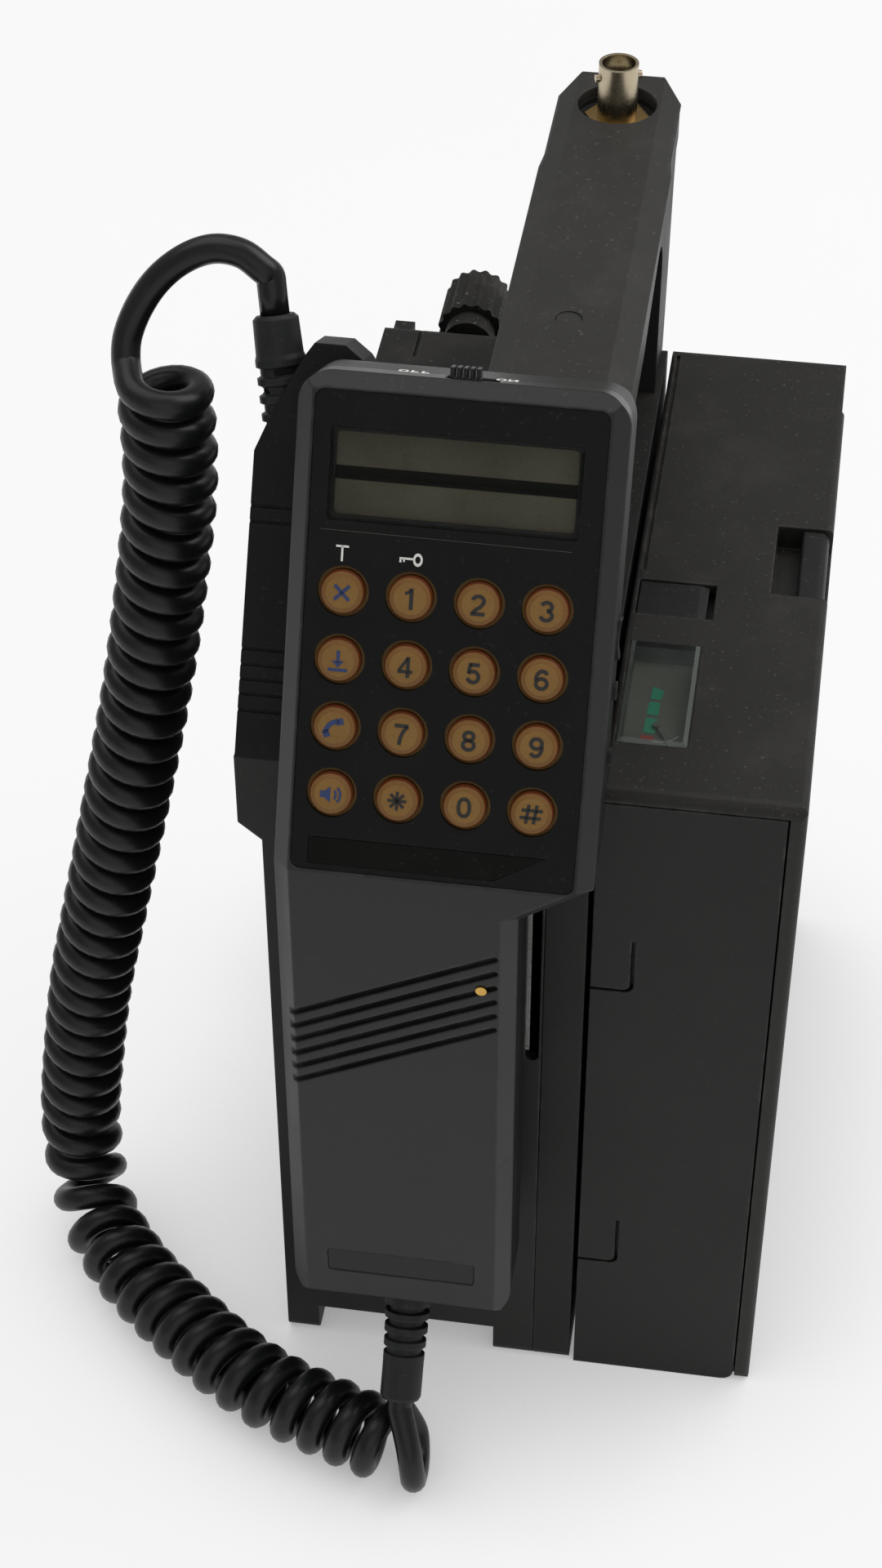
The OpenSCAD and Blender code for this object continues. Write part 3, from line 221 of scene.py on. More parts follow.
def finish(name, colour, rough=0.5, grain=1800, bump=0.12, mottle=0.12, edge_wear_and_highlight=0.0, worn=None,
           dust=0.0, metal=0.0, spec=0.5, round_edges=0.0, scratches=0.0):
    """A moulded or metal finish with grain, colour and gloss variation, scratches, dust, and lighter edges:
    wear, and on the pack's cover a painted highlight too.
    """
    n = Net(name)
    n.bsdf.inputs["Metallic"].default_value = metal
    n.bsdf.inputs["Specular IOR Level"].default_value = spec
    big = n.noise(38, 4)
    small = n.noise(grain, 2)
    col = n.mix(n.ramp(big, 0.3, 0.7), shade(colour, 1 - mottle), shade(colour, 1 + mottle))
    col = n.mix(n.ramp(small, 0.35, 0.65, (0, 0.35)), col, shade(colour, 1.35))
    uneven = n.math("ADD", n.math("MULTIPLY", big, 0.6), n.math("MULTIPLY", small, 0.4))
    gloss = n.ramp(uneven, 0.3, 0.7, (rough - 0.07, rough + 0.09))
    height = small
    if scratches:
        line = n.math("MULTIPLY", n.ramp(n.noise(60, 3, 0.7, (1, 9, 1)), 0.66, 0.72),
                      n.ramp(n.noise(420, 2, 0.6, (0.25, 6, 0.25)), 0.55, 0.6))
        col = n.mix(n.math("MULTIPLY", line, scratches), col, shade(colour, 3.0))
        height = n.math("SUBTRACT", height, n.math("MULTIPLY", line, 0.5))
    if dust:
        speck = n.ramp(n.noise(900, 2, 0.5), 0.66, 0.72)
        film = n.math("MULTIPLY", n.ramp(n.noise(55, 5, 0.65), 0.5, 0.8), 0.35)
        up = n.ramp(n.toward((0, 0, 1)), 0.1, 0.9, (0.25, 1))
        amount = n.math("MULTIPLY", n.math("MULTIPLY", n.math("MAXIMUM", speck, film), up), dust)
        col = n.mix(amount, col, DUST)
        gloss = n.math("ADD", gloss, n.math("MULTIPLY", amount, 0.3))
    # lighter edges: real wear, and on the pack's cover also a painted highlight along its top front edge
    if edge_wear_and_highlight:
        patchy = n.ramp(n.noise(160, 4, 0.7), 0.46, 0.62)
        worn_and_highlit_edge = n.math("MULTIPLY", n.math("MULTIPLY", n.edges(WEAR_AND_HIGHLIGHT_WIDTH), patchy), edge_wear_and_highlight)
        col = n.mix(worn_and_highlit_edge, col, worn or shade(colour, 4.5))
        gloss = n.math("SUBTRACT", gloss, n.math("MULTIPLY", worn_and_highlit_edge, 0.1))
    n.link(col, "Base Color")
    n.link(gloss, "Roughness")
    n.bump(height, bump, GRAIN_DEPTH, n.rounded(round_edges) if round_edges else None)
    return n.mat


def window(name, colour, alpha, rough=0.12, rim_sheen=0.5, rim_normal=(0, 0, 1), scratches=0.4, spec=0.35):
    """Clear or smoked plastic that lets what lies under it show."""
    n = Net(name)
    n.bsdf.inputs["Base Color"].default_value = colour
    n.bsdf.inputs["Specular IOR Level"].default_value = spec
    line = n.math("MULTIPLY", n.ramp(n.noise(90, 3, 0.7, (1, 12, 1)), 0.6, 0.7),
                  n.ramp(n.noise(500, 2, 0.6), 0.5, 0.6))
    # the sloped rims turn less clear and show the tint: a painted sheen on the bevels
    slope = n.ramp(n.toward(rim_normal), 0.985, 0.9)
    smear = n.ramp(n.noise(70, 4), 0.45, 0.75, (0, 0.08))
    a = n.math("ADD", alpha, n.math("MULTIPLY", line, scratches * 0.4))
    a = n.math("ADD", a, smear)
    a = n.math("ADD", a, n.math("MULTIPLY", slope, rim_sheen))
    n.link(n.ramp(a, 0, 1), "Alpha")
    n.link(n.ramp(n.noise(120, 4), 0.3, 0.7, (rough, rough + 0.14)), "Roughness")
    n.bump(n.noise(300, 3), 0.05, 0.00005)
    return n.mat


def amber_key(name):
    """Tan matt face with a translucent orange-brown side."""
    n = Net(name)
    n.bsdf.inputs["Specular IOR Level"].default_value = 0.25
    face = n.ramp(n.toward(KEY_FACING), 0.75, 0.97)
    speck = n.noise(2600, 2)
    big = n.noise(150, 3)
    tan = n.mix(n.ramp(big, 0.3, 0.7), rgb(124, 92, 44), rgb(134, 100, 50))
    tan = n.mix(n.ramp(speck, 0.4, 0.62, (0, 0.35)), tan, rgb(148, 112, 62))
    n.link(n.mix(face, rgb(92, 42, 14), tan), "Base Color")
    gloss = n.math("ADD", n.math("MULTIPLY", speck, 0.5), n.math("MULTIPLY", face, 0.4))
    n.link(n.ramp(gloss, 0, 1, (0.28, 0.62)), "Roughness")
    n.bump(speck, 0.2, 0.00004, n.rounded(0.0004))
    return n.mat


# mouldings of the transceiver, the pack and the handset
housing = finish("housing", rgb(33, 32, 31), 0.5, 2200, 0.35, mottle=0.12, edge_wear_and_highlight=0.55, dust=0.16,
                 spec=0.22, round_edges=0.0006)
side_plastic = finish("side_plastic", rgb(30, 29, 28), 0.52, 2200, 0.35, edge_wear_and_highlight=0.35, dust=0.12,
                      spec=0.2, round_edges=0.0005)
handle_plastic = finish("handle_plastic", rgb(40, 39, 37), 0.46, 2400, 0.3, edge_wear_and_highlight=0.3, dust=0.14,
                        spec=0.3, round_edges=0.0006)
grip_plastic = finish("grip_plastic", rgb(30, 30, 29), 0.5, 2200, 0.35, edge_wear_and_highlight=0.25, dust=0.1,
                      spec=0.25, round_edges=0.0006)
cradle_plastic = finish("cradle_plastic", rgb(22, 22, 22), 0.5, 2000, 0.35, edge_wear_and_highlight=0.3, dust=0.1,
                        spec=0.15, round_edges=0.0005)
pack_plastic = finish("pack_plastic", rgb(35, 34, 32), 0.5, 2200, 0.35, mottle=0.14, edge_wear_and_highlight=0.7,
                      dust=0.14, spec=0.25, round_edges=0.0006, scratches=0.25)
# the cover's strong edge lightening is partly a painted highlight on its top front edge
cover_plastic = finish("cover_plastic", rgb(32, 31, 30), 0.48, 2200, 0.35, mottle=0.12, edge_wear_and_highlight=0.9,
                       dust=0.1, spec=0.2, round_edges=0.0005, scratches=0.3)
handset_plastic = finish("handset_plastic", rgb(33, 34, 33), 0.34, 2600, 0.2, mottle=0.08, edge_wear_and_highlight=0.4,
                         dust=0.06, spec=0.25, round_edges=0.0009, scratches=0.15)
handset_dark = finish("handset_dark", rgb(25, 26, 25), 0.42, 2400, 0.3, mottle=0.1, edge_wear_and_highlight=0.35,
                      dust=0.08, spec=0.25, round_edges=0.0007)
panel_black = finish("panel_black", rgb(19, 20, 19), 0.34, 2600, 0.15, mottle=0.1, edge_wear_and_highlight=0.15,
                     dust=0.06, spec=0.1)
plate_black = finish("plate_black", rgb(24, 25, 25), 0.3, 2000, 0.15, dust=0.1, spec=0.2)
button_plastic = finish("button_plastic", rgb(24, 24, 24), 0.42, 2000, 0.2, edge_wear_and_highlight=0.6, dust=0.1,
                        spec=0.25, round_edges=0.0003)
key_amber = amber_key("key_amber")

# rubber
rubber = finish("cord_rubber", rgb(19, 20, 20), 0.34, 900, 0.06, mottle=0.1, dust=0.03, spec=0.32)
relief_rubber = finish("relief_rubber", rgb(30, 31, 31), 0.5, 1400, 0.25, edge_wear_and_highlight=0.3, dust=0.1,
                       spec=0.25, round_edges=0.0004)
boot_rubber = finish("boot_rubber", rgb(30, 29, 27), 0.62, 1200, 0.35, edge_wear_and_highlight=0.3, dust=0.6,
                     spec=0.25, round_edges=0.0003)

# metal and electrical pieces
brass = finish("socket_brass", rgb(150, 122, 76), 0.34, 1400, 0.25, mottle=0.3, edge_wear_and_highlight=0.6,
               worn=rgb(205, 180, 120), metal=1.0, dust=0.25, round_edges=0.0003)
nickel = finish("socket_nickel", rgb(178, 166, 142), 0.26, 1400, 0.2, mottle=0.35, edge_wear_and_highlight=0.6,
                worn=rgb(196, 160, 100), metal=1.0, dust=0.15, round_edges=0.0002)
insulator = finish("socket_insulator", rgb(206, 200, 184), 0.45, 1800, 0.15, mottle=0.08)
gold = finish("contact_gold", rgb(200, 160, 84), 0.25, 1500, 0.1, mottle=0.15, metal=1.0)
steel = finish("bright_steel", rgb(176, 176, 172), 0.3, 1600, 0.2, mottle=0.15, metal=1.0, dust=0.1)
screw_steel = finish("screw_steel", rgb(120, 120, 120), 0.38, 1600, 0.25, mottle=0.2, metal=1.0,
                     dust=0.2)
board_green = finish("board_green", rgb(28, 72, 44), 0.35, 1200, 0.2, mottle=0.2)
cell_sleeve = finish("cell_sleeve", rgb(60, 110, 125), 0.35, 900, 0.1, mottle=0.15)
capsule = finish("capsule", rgb(110, 110, 112), 0.4, 1800, 0.2, mottle=0.15, metal=0.8)

# display, gauge and windows
lcd = finish("lcd_glass", rgb(17, 17, 16), 0.4, 900, 0.05, mottle=0.1, spec=0.1)
lcd_row = finish("lcd_row", rgb(108, 105, 88), 0.4, 1600, 0.08, mottle=0.05, dust=0.2, spec=0.15)
dial = finish("dial_card", rgb(122, 124, 114), 0.5, 1600, 0.1, mottle=0.06, dust=0.15, spec=0.2)
strip_glass = finish("strip_glass", rgb(11, 11, 9), 0.2, 900, 0.04, mottle=0.1, dust=0.06, spec=0.08)
clear = window("clear_window", rgb(120, 126, 122), 0.06, rim_sheen=0.4, scratches=0.5)
smoked = window("smoked_window", rgb(40, 40, 36), 0.08, rough=0.1, rim_sheen=0.2, spec=0.1,
                rim_normal=KEY_FACING, scratches=0.2)

# printed marks
ink = finish("label_black", rgb(22, 20, 18), 0.5, 2000, 0.05, mottle=0.1)
blue_ink = finish("label_blue", rgb(34, 52, 98), 0.5, 2000, 0.05, mottle=0.1)
white_ink = finish("label_white", rgb(226, 226, 220), 0.5, 2000, 0.05, mottle=0.06)
green_ink = finish("gauge_green", rgb(60, 184, 142), 0.5, 1800, 0.05, mottle=0.08, spec=0.2)
red_ink = finish("gauge_red", rgb(196, 74, 60), 0.45, 1800, 0.05, mottle=0.08)
# a pale line painted on the display window's lower edge: a painted glint of light on that edge
painted_glint = finish("painted_window_glint_line", rgb(74, 74, 66), 0.4, 2000, 0.05, mottle=0.3, spec=0.2)

DRESS = {
    housing: ["main_shell"], side_plastic: ["side_shell"],
    handle_plastic: ["handle_top", "handle_plug"], grip_plastic: ["handle_core"],
    cradle_plastic: ["cradle"], pack_plastic: ["battery_case"], cover_plastic: ["battery_cover"],
    handset_plastic: ["handset_front"], handset_dark: ["handset_back"], panel_black: ["key_panel"],
    plate_black: ["nameplate"], strip_glass: ["status_lens"],
    rubber: ["cord_lead", "cord_coil", "cord_tail"],
    relief_rubber: ["cradle_relief", "handset_relief"], boot_rubber: ["rear_knob", "rear_connector"],
    brass: ["bnc_flange"], nickel: ["bnc_barrel"], insulator: ["bnc_insulator"],
    gold: ["bnc_contact", "grille_pin"], steel: ["slot_contact", "shield_can"],
    screw_steel: ["shell_screws"], board_green: ["rf_board", "keypad_board"],
    cell_sleeve: ["battery_cells"], lcd: ["lcd_panel"], capsule: ["earpiece", "microphone"],
    dial: ["gauge_dial"], clear: ["gauge_window"], smoked: ["display_lens"],
    button_plastic: ["power_switch", "volume_rocker", "side_button_a", "side_button_b",
                     "push_latch", "side_catch"],
    key_amber: [n for n in NODES if n.startswith("key_") and n != "key_panel"],
}
for mat, names in DRESS.items():
    for name in names:
        o = NODES[name]
        o.data.materials.clear()
        o.data.materials.append(mat)

# The pale floor: lit from the lamps, and near white to the camera. Near the object's foot its
# white glow is darkened by ambient occlusion, a painted soft shadow.
FLOOR_HALF = 4
SHADOW_REACH = 0.07
FLOOR_GLOW = 0.78
floor_mat = Net("pale_floor")
floor_mat.bsdf.inputs["Specular IOR Level"].default_value = 0.2
floor_mat.bsdf.inputs["Roughness"].default_value = 0.7
uneven = floor_mat.ramp(floor_mat.noise(6, 3), 0.3, 0.7)
floor_mat.link(floor_mat.mix(uneven, (0.86, 0.86, 0.86, 1), (0.89, 0.89, 0.89, 1)), "Base Color")
ray = floor_mat.add("ShaderNodeLightPath").outputs
seen = floor_mat.math("MAXIMUM", ray["Is Camera Ray"], ray["Is Glossy Ray"])
seen = floor_mat.math("MAXIMUM", seen, ray["Is Transmission Ray"])
# ambient occlusion darkens the floor's glow near the object: a painted contact shadow
painted_shadow_ao = floor_mat.add("ShaderNodeAmbientOcclusion", {"Distance": SHADOW_REACH}, samples=12).outputs["AO"]
glow_with_painted_shadow = floor_mat.add("ShaderNodeEmission", {
    "Color": (1, 1, 1, 1), "Strength": floor_mat.ramp(painted_shadow_ao, 0.0, 0.9, (0.35, 1.0))})
surface = floor_mat.add("ShaderNodeMixShader", {
    0: floor_mat.math("MULTIPLY", seen, FLOOR_GLOW), 1: floor_mat.bsdf.outputs[0], 2: glow_with_painted_shadow.outputs[0]})
floor_mat.tree.links.new(surface.outputs[0], floor_mat.tree.nodes["Material Output"].inputs["Surface"])


def mesh_object(name, verts, faces, mat, body=None, smooth=False):
    me = bpy.data.meshes.new(name)
    me.from_pydata([tuple(v) for v in verts], [], faces)
    me.update()
    o = bpy.data.objects.new(name, me)
    bpy.context.collection.objects.link(o)
    me.materials.append(mat)
    if smooth:
        for p in me.polygons:
            p.use_smooth = True
    if body:
        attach(o, body)
    return o


corners = [(x * FLOOR_HALF, y * FLOOR_HALF, 0) for x, y in ((-1, -1), (1, -1), (1, 1), (-1, 1))]
mesh_object("floor", corners, [(0, 1, 2, 3)], floor_mat.mat)


# ------------------------------------------------------------------ cord
# The route repeats the source's points, in millimetres, and is scaled at the end.
def v3(*p):
    return Vector(p)


def spline(p, n):
    """A curve through points, with n steps from one to the next."""
    out = []
    for i in range(len(p) - 1):
        a, b, c, d = p[max(i - 1, 0)], p[i], p[i + 1], p[min(i + 2, len(p) - 1)]
        for k in range(n):
            t = k / n
            out.append(0.5 * (2 * b + (c - a) * t + (2 * a - 5 * b + 4 * c - d) * t * t
                              + (3 * b - a - 3 * c + d) * t ** 3))
    return out + [p[-1]]


def dirs(p):
    """The direction of a run of points at each of them."""
    return [(p[min(i + 1, len(p) - 1)] - p[max(i - 1, 0)]).normalized() for i in range(len(p))]


def lookup(x, table):
    """A value read between the rows of a table."""
    if x <= table[0][0]:
        return table[0][1]
    for (xa, ya), (xb, yb) in zip(table, table[1:]):
        if x <= xb:
            return ya + (yb - ya) * (x - xa) / max(xb - xa, 1e-9)
    return table[-1][1]


def circle(at, n, b, r, sides):
    """Points round a place, in the plane of two directions."""
    return [at + r * (math.cos(2 * math.pi * k / sides) * n + math.sin(2 * math.pi * k / sides) * b)
            for k in range(sides)]


def tube_faces(rings, sides):
    """The faces that join rings of points, with a cap at each end."""
    faces = []
    for j in range(rings - 1):
        for k in range(sides):
            m = (k + 1) % sides
            faces.append((j * sides + k, j * sides + m, (j + 1) * sides + m, (j + 1) * sides + k))
    faces.append(tuple(reversed(range(sides))))
    faces.append(tuple((rings - 1) * sides + k for k in range(sides)))
    return faces


CORD_D, COIL_D, PITCH = 6.2, 21.2, 7.2
CURL_GAP = 0.8                    # room between curls on the inside of a bend
COIL = [Vector(p) for p in [      # the middle of the coil, from the cradle to the floor and the handset
    (-80, -46, 262), (-80, -46, 240), (-82, -47, 220), (-87, -48, 188), (-92, -49, 162), (-98, -49, 134),
    (-104, -50, 106), (-109, -50, 82), (-113, -51, 54), (-115, -51, 36), (-114, -55, 20), (-108, -66, 11),
    (-99, -78, 11), (-90, -87, 11), (-78, -97, 11), (-66, -106, 11), (-54, -113, 11), (-43, -117.3, 11),
    (-33.5, -120.6, 11), (-28.6, -122.2, 11), (-23.9, -123.6, 11)]]
LEAD = [Vector(p) for p in [      # the loop from the cradle's relief to the first curl
    (-60.6, -34.4, 283), (-65, -33.3, 285.6), (-71, -33, 286), (-77, -33.8, 283.6), (-82.5, -35.2, 279),
    (-86.6, -37, 273), (-88.9, -40, 267)]]
TAIL = [Vector(p) for p in [      # the loop from the last curl up to the handset's relief
    (-19.1, -116.4, 11), (-17.5, -117.2, 7.2), (-16.7, -120.4, 4.3), (-16.3, -124.5, 3.4),
    (-16.2, -128.4, 4.3), (-16.1, -131, 7.2), (-16.2, -131.7, 11), (-16.7, -130.9, 14.8),
    (-17.6, -129, 18), (-18.8, -126.6, 20.8), (-19.9, -124.4, 23.1)]]
REF = v3(-0.57, -0.8, 0.16)       # where the turn of a curl is counted from
START_A, END_A = -54, 120         # the turn at the first and the last curl's end
PER_CURL = 24
ROUTE_STEPS, LOOP_STEPS = 8, 6
BEND_REACH = 6                    # how many route points share a bend
MIN_STEP = 0.25
SMOOTHINGS = 2
CORD_SIDES = 14

# the mouths of the two strain reliefs
CRADLE_FOOT = v3(-52.4, -84.65, 193.2)
LEAD_UP, LEAD_IN, LEAD_OUT = 64, 6, 29.9
along = v3(0, math.sin(TILT), math.cos(TILT))
lead_lean = math.radians(10)
lead_dir = (v3(-math.sin(lead_lean), 0, 0) + math.cos(lead_lean) * along).normalized()
lead_from = CRADLE_FOOT + LEAD_UP * along - LEAD_IN * v3(*KEY_FACING) + LEAD_OUT * lead_dir
end_lean = math.radians(34)
end_dir = v3(0, -math.sin(end_lean), -math.cos(end_lean))
end_root = v3(-20.5, -105, 51)
end_from = end_root + 24 * end_dir

# how far the coil has turned at each point of its route; the curls open up where the route bends
coil_r = (COIL_D - CORD_D) / 2
line = spline(COIL, ROUTE_STEPS)
line_dir = dirs(line)
step = [(line[i + 1] - line[i]).length for i in range(len(line) - 1)]
bend = [(line_dir[i + 1] - line_dir[i]).length / step[i] for i in range(len(line) - 1)]
turned = [0.0]
for i in range(len(line) - 1):
    near = bend[max(i - BEND_REACH, 0):min(i + BEND_REACH, len(line) - 2) + 1]
    pitch = max(PITCH, (CORD_D + CURL_GAP) / max(0.3, 1 - sum(near) / len(near) * coil_r))
    turned.append(turned[-1] + step[i] / pitch)
curls = math.floor(turned[-1] - (END_A - START_A) / 360 + 0.5)
by_turn = [(turned[i], i) for i in range(len(line))]


def line_at(q):
    i = min(int(q), len(line) - 2)
    return line[i].lerp(line[i + 1], q - i)


def dir_at(q):
    i = min(int(q), len(line) - 2)
    return line_dir[i].lerp(line_dir[i + 1], q - i).normalized()


def wire_at(w):
    """The middle of the wire, w from 0 to 1 along the curls."""
    q = lookup(turned[-1] * w, by_turn)
    t = dir_at(q)
    a = (REF - REF.dot(t) * t).normalized()
    b = a.cross(t)
    g = math.radians(START_A + (360 * curls + END_A - START_A) * w)
    return line_at(q) + coil_r * (math.cos(g) * a + math.sin(g) * b)


first = 1 / (8 * curls + 4)       # a short way along the curls, for the direction at their ends
into = (wire_at(first) - wire_at(0)).normalized()
out_of = (wire_at(1) - wire_at(1 - first)).normalized()
lead = [lead_from] + spline([lead_from + CORD_D * lead_dir, lead_from + 1.3 * CORD_D * lead_dir] + LEAD
                            + [wire_at(0) - 3 * into], LOOP_STEPS)
tail = spline([wire_at(1) + 3 * out_of] + TAIL
              + [end_from + 1.3 * CORD_D * end_dir, end_from + CORD_D * end_dir], LOOP_STEPS) + [end_from]
n_wire = round((curls + (END_A - START_A) / 360) * PER_CURL)
points = lead + [wire_at(k / n_wire) for k in range(n_wire + 1)] + tail
# even out the joins between the straight ends and the curls
wire = [points[0]]
for p in points[1:]:
    if (p - wire[-1]).length > MIN_STEP:
        wire.append(p)
for _ in range(SMOOTHINGS):
    inner = [0.25 * wire[i - 1] + 0.5 * wire[i] + 0.25 * wire[i + 1] for i in range(1, len(wire) - 1)]
    wire = [wire[0]] + inner + [wire[-1]]
wire = [p / MM for p in wire]


def sweep(name, points, radius, sides, mat):
    """A round tube along points, with a frame that never twists."""
    t = dirs(points)
    n = t[0].orthogonal().normalized()
    verts = []
    for i, p in enumerate(points):
        n = (n - n.dot(t[i]) * t[i]).normalized()
        verts += circle(p, n, t[i].cross(n), radius, sides)
    return mesh_object(name, verts, tube_faces(len(points), sides), mat, smooth=True)


cord = sweep("curly_cord", wire, CORD_D / 2000, CORD_SIDES, rubber)
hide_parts("cord_lead", "cord_coil", "cord_tail")
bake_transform(cord, "transceiver", "handset", start=(-0.095, -0.085, 0.060), end=(-0.024, -0.1165, 0.030))


# ------------------------------------------------------------------ strain relief of the handset
def turned_piece(name, profile, base, direction, mat, body, sides=48):
    """A turned form from (radius, place along the axis) pairs in millimetres."""
    t = direction.normalized()
    n = t.orthogonal().normalized()
    b = t.cross(n)
    verts = [p / MM for r, z in profile for p in circle(base + z * t, n, b, r, sides)]
    return mesh_object(name, verts, tube_faces(len(profile), sides), mat, body)


RELIEF_R, RELIEF_L, BORE_R = 5.6, 29.6, 3.2
RELIEF_ROOT = 6                   # how far it reaches into the handset, and where the ribs start
RIBS, RIB_PITCH, RIB_DEPTH = 4, 3.5, 1.5
relief_profile = [(3, -RELIEF_ROOT), (RELIEF_R, -RELIEF_ROOT), (RELIEF_R, RELIEF_ROOT)]
for i in range(RIBS):
    z, r = RELIEF_ROOT + RIB_PITCH * i, RELIEF_R - 0.3 - 0.12 * i
    relief_profile += [(RELIEF_R - RIB_DEPTH, z + 0.25), (RELIEF_R - RIB_DEPTH, z + 1.45),
                       (r, z + 1.75), (r, z + 3.4)]
relief_profile += [(RELIEF_R - 0.7, 20.4), (RELIEF_R - 0.7, 28.8), (RELIEF_R - 1.1, RELIEF_L),
                   (BORE_R, RELIEF_L), (BORE_R, 23)]
relief = turned_piece("handset_relief_leaning", relief_profile, end_root, end_dir, relief_rubber, "handset")
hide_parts("handset_relief")


# ------------------------------------------------------------------ the handset's slim grip
# The two shells again, with the grip's right side narrow all the way down to its end.
GRIP_X1, GRIP_CHAMFER, GRIP_T = 4.22, 3.5, 22     # right side, chamfer and thickness, in millimetres
CUT_LOW, CUT_HIGH, CUT_OUT = 150, 62, 60          # the cut's reach below the bend, and to the right
WELD = 0.000004
SHARP = math.radians(22)


def slim(name, shell, mat):
    inner, outer = GRIP_X1 - GRIP_CHAMFER - 1, GRIP_X1 + CUT_OUT
    section = [(inner, -1.02), (outer, -1.02), (outer, GRIP_T + 3), (inner, GRIP_T + 3),
               (inner, GRIP_T + 1), (GRIP_X1, GRIP_T - GRIP_CHAMFER), (GRIP_X1, GRIP_CHAMFER)]
    n = len(section)
    verts = [(x / MM, FACE_Y + d / MM, z / MM)
             for z in (BEND_Z * MM - CUT_LOW, BEND_Z * MM - CUT_HIGH) for x, d in section]
    faces = [tuple(reversed(range(n))), tuple(range(n, 2 * n))]
    faces += [(i, (i + 1) % n, n + (i + 1) % n, n + i) for i in range(n)]
    cutter = mesh_object(name + "_cut", verts, faces, mat)
    bm = bmesh.new()
    bm.from_mesh(cutter.data)
    bmesh.ops.recalc_face_normals(bm, faces=bm.faces)
    bm.to_mesh(cutter.data)
    bm.free()
    piece = bpy.data.objects.new(name, NODES[shell].data.copy())
    bpy.context.collection.objects.link(piece)
    cut = piece.modifiers.new("cut", "BOOLEAN")
    cut.operation, cut.solver, cut.object = "DIFFERENCE", "EXACT", cutter
    bpy.context.view_layer.update()
    me = bpy.data.meshes.new_from_object(piece.evaluated_get(bpy.context.evaluated_depsgraph_get()))
    piece.modifiers.clear()
    piece.data = me
    bpy.data.objects.remove(cutter)
    bm = bmesh.new()
    bm.from_mesh(me)
    bmesh.ops.remove_doubles(bm, verts=bm.verts, dist=WELD)
    for f in bm.faces:
        f.smooth = True
    for e in bm.edges:
        e.smooth = len(e.link_faces) == 2 and e.calc_face_angle(0) < SHARP
    bm.to_mesh(me)
    bm.free()
    me.materials.clear()
    me.materials.append(mat)
    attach(piece, "handset")
    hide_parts(shell)


slim("handset_front_slim", "handset_front", handset_plastic)
slim("handset_back_slim", "handset_back", handset_dark)


# ------------------------------------------------------------------ printed marks
def up_point(x, s, out):
    """A point on the upper face, in metres: across, up the slope, outwards."""
    return Vector((x, FACE_Y + s * math.sin(TILT) - out * math.cos(TILT),
                   BEND_Z + s * math.cos(TILT) + out * math.sin(TILT)))


UP_FRAME = Matrix(((1, 0, 0), (0, math.sin(TILT), -math.cos(TILT)),
                   (0, math.cos(TILT), math.sin(TILT)))).to_4x4()
END_FRAME = Matrix(((1, 0, 0), (0, -math.cos(TILT), math.sin(TILT)),
                    (0, math.sin(TILT), math.cos(TILT)))).to_4x4()
TOP_END = 0.103                   # the handset's top end, up the slope from its bend


def up_at(x, s, out):
    return Matrix.Translation(up_point(x, s, out)) @ UP_FRAME


def end_at(x, d):
    """On the handset's top end, at depth d behind its face."""
    return Matrix.Translation(up_point(x, TOP_END, -d)) @ END_FRAME


def shape(name, outlines, at, mat, body, thick=0.00004):
    """Flat printed shapes from outlines in millimetres."""
    bm = bmesh.new()
    for outline in outlines:
        top = [bm.verts.new((x / MM, y / MM, thick)) for x, y in outline]
        low = [bm.verts.new((x / MM, y / MM, 0)) for x, y in outline]
        bm.faces.new(top)
        for i in range(len(top)):
            j = (i + 1) % len(top)
            bm.faces.new((low[i], low[j], top[j], top[i]))
    bmesh.ops.recalc_face_normals(bm, faces=bm.faces)
    me = bpy.data.meshes.new(name)
    bm.to_mesh(me)
    bm.free()
    me.transform(at)
    o = bpy.data.objects.new(name, me)
    bpy.context.collection.objects.link(o)
    me.materials.append(mat)
    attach(o, body)


def bar(x0, y0, x1, y1, w):
    """A straight stroke of width w."""
    d = Vector((x1 - x0, y1 - y0)).normalized()
    n = Vector((-d.y, d.x)) * w / 2
    return [(x0 - n.x, y0 - n.y), (x1 - n.x, y1 - n.y), (x1 + n.x, y1 + n.y), (x0 + n.x, y0 + n.y)]


def ring(cx, cy, r0, r1, a0=0, a1=360, n=28, squeeze=1.0):
    """A ring or part of one, as quads."""
    out = []
    for i in range(n):
        a, b = math.radians(a0 + (a1 - a0) * i / n), math.radians(a0 + (a1 - a0) * (i + 1) / n)
        out.append([(cx + r * math.cos(t) * squeeze, cy + r * math.sin(t))
                    for r, t in ((r0, a), (r1, a), (r1, b), (r0, b))])
    return out


def ribbon(pts, w, closed=False):
    """An even stroke along points, as quads that share their ends."""
    p = [Vector(q) for q in pts]
    n, sides = len(p), []
    for i in range(n):
        before = p[i] - p[i - 1] if closed or i else p[1] - p[0]
        after = p[(i + 1) % n] - p[i] if closed or i < n - 1 else p[i] - p[i - 1]
        u, v = before.normalized(), after.normalized()
        m = Vector((-u.y - v.y, u.x + v.x)).normalized()
        sides.append(m * w / 2 / max(0.5, m.dot(Vector((-u.y, u.x)))))
    out = []
    for i in range(n if closed else n - 1):
        j = (i + 1) % n
        out.append([tuple(p[i] - sides[i]), tuple(p[j] - sides[j]),
                    tuple(p[j] + sides[j]), tuple(p[i] + sides[i])])
    return out


def oval(cx, cy, rx, ry, a0=0, a1=360, n=24, power=2.0):
    """Points on an oval, squarer for a higher power."""
    out = []
    for i in range(n + (a1 - a0 != 360)):
        t = math.radians(a0 + (a1 - a0) * i / n)
        c, q = math.cos(t), math.sin(t)
        k = (abs(c) ** power + abs(q) ** power) ** (-1 / power)
        out.append((cx + rx * k * c, cy + ry * k * q))
    return out


def moved(quads, dx):
    return [[(x + dx, y) for x, y in q] for q in quads]


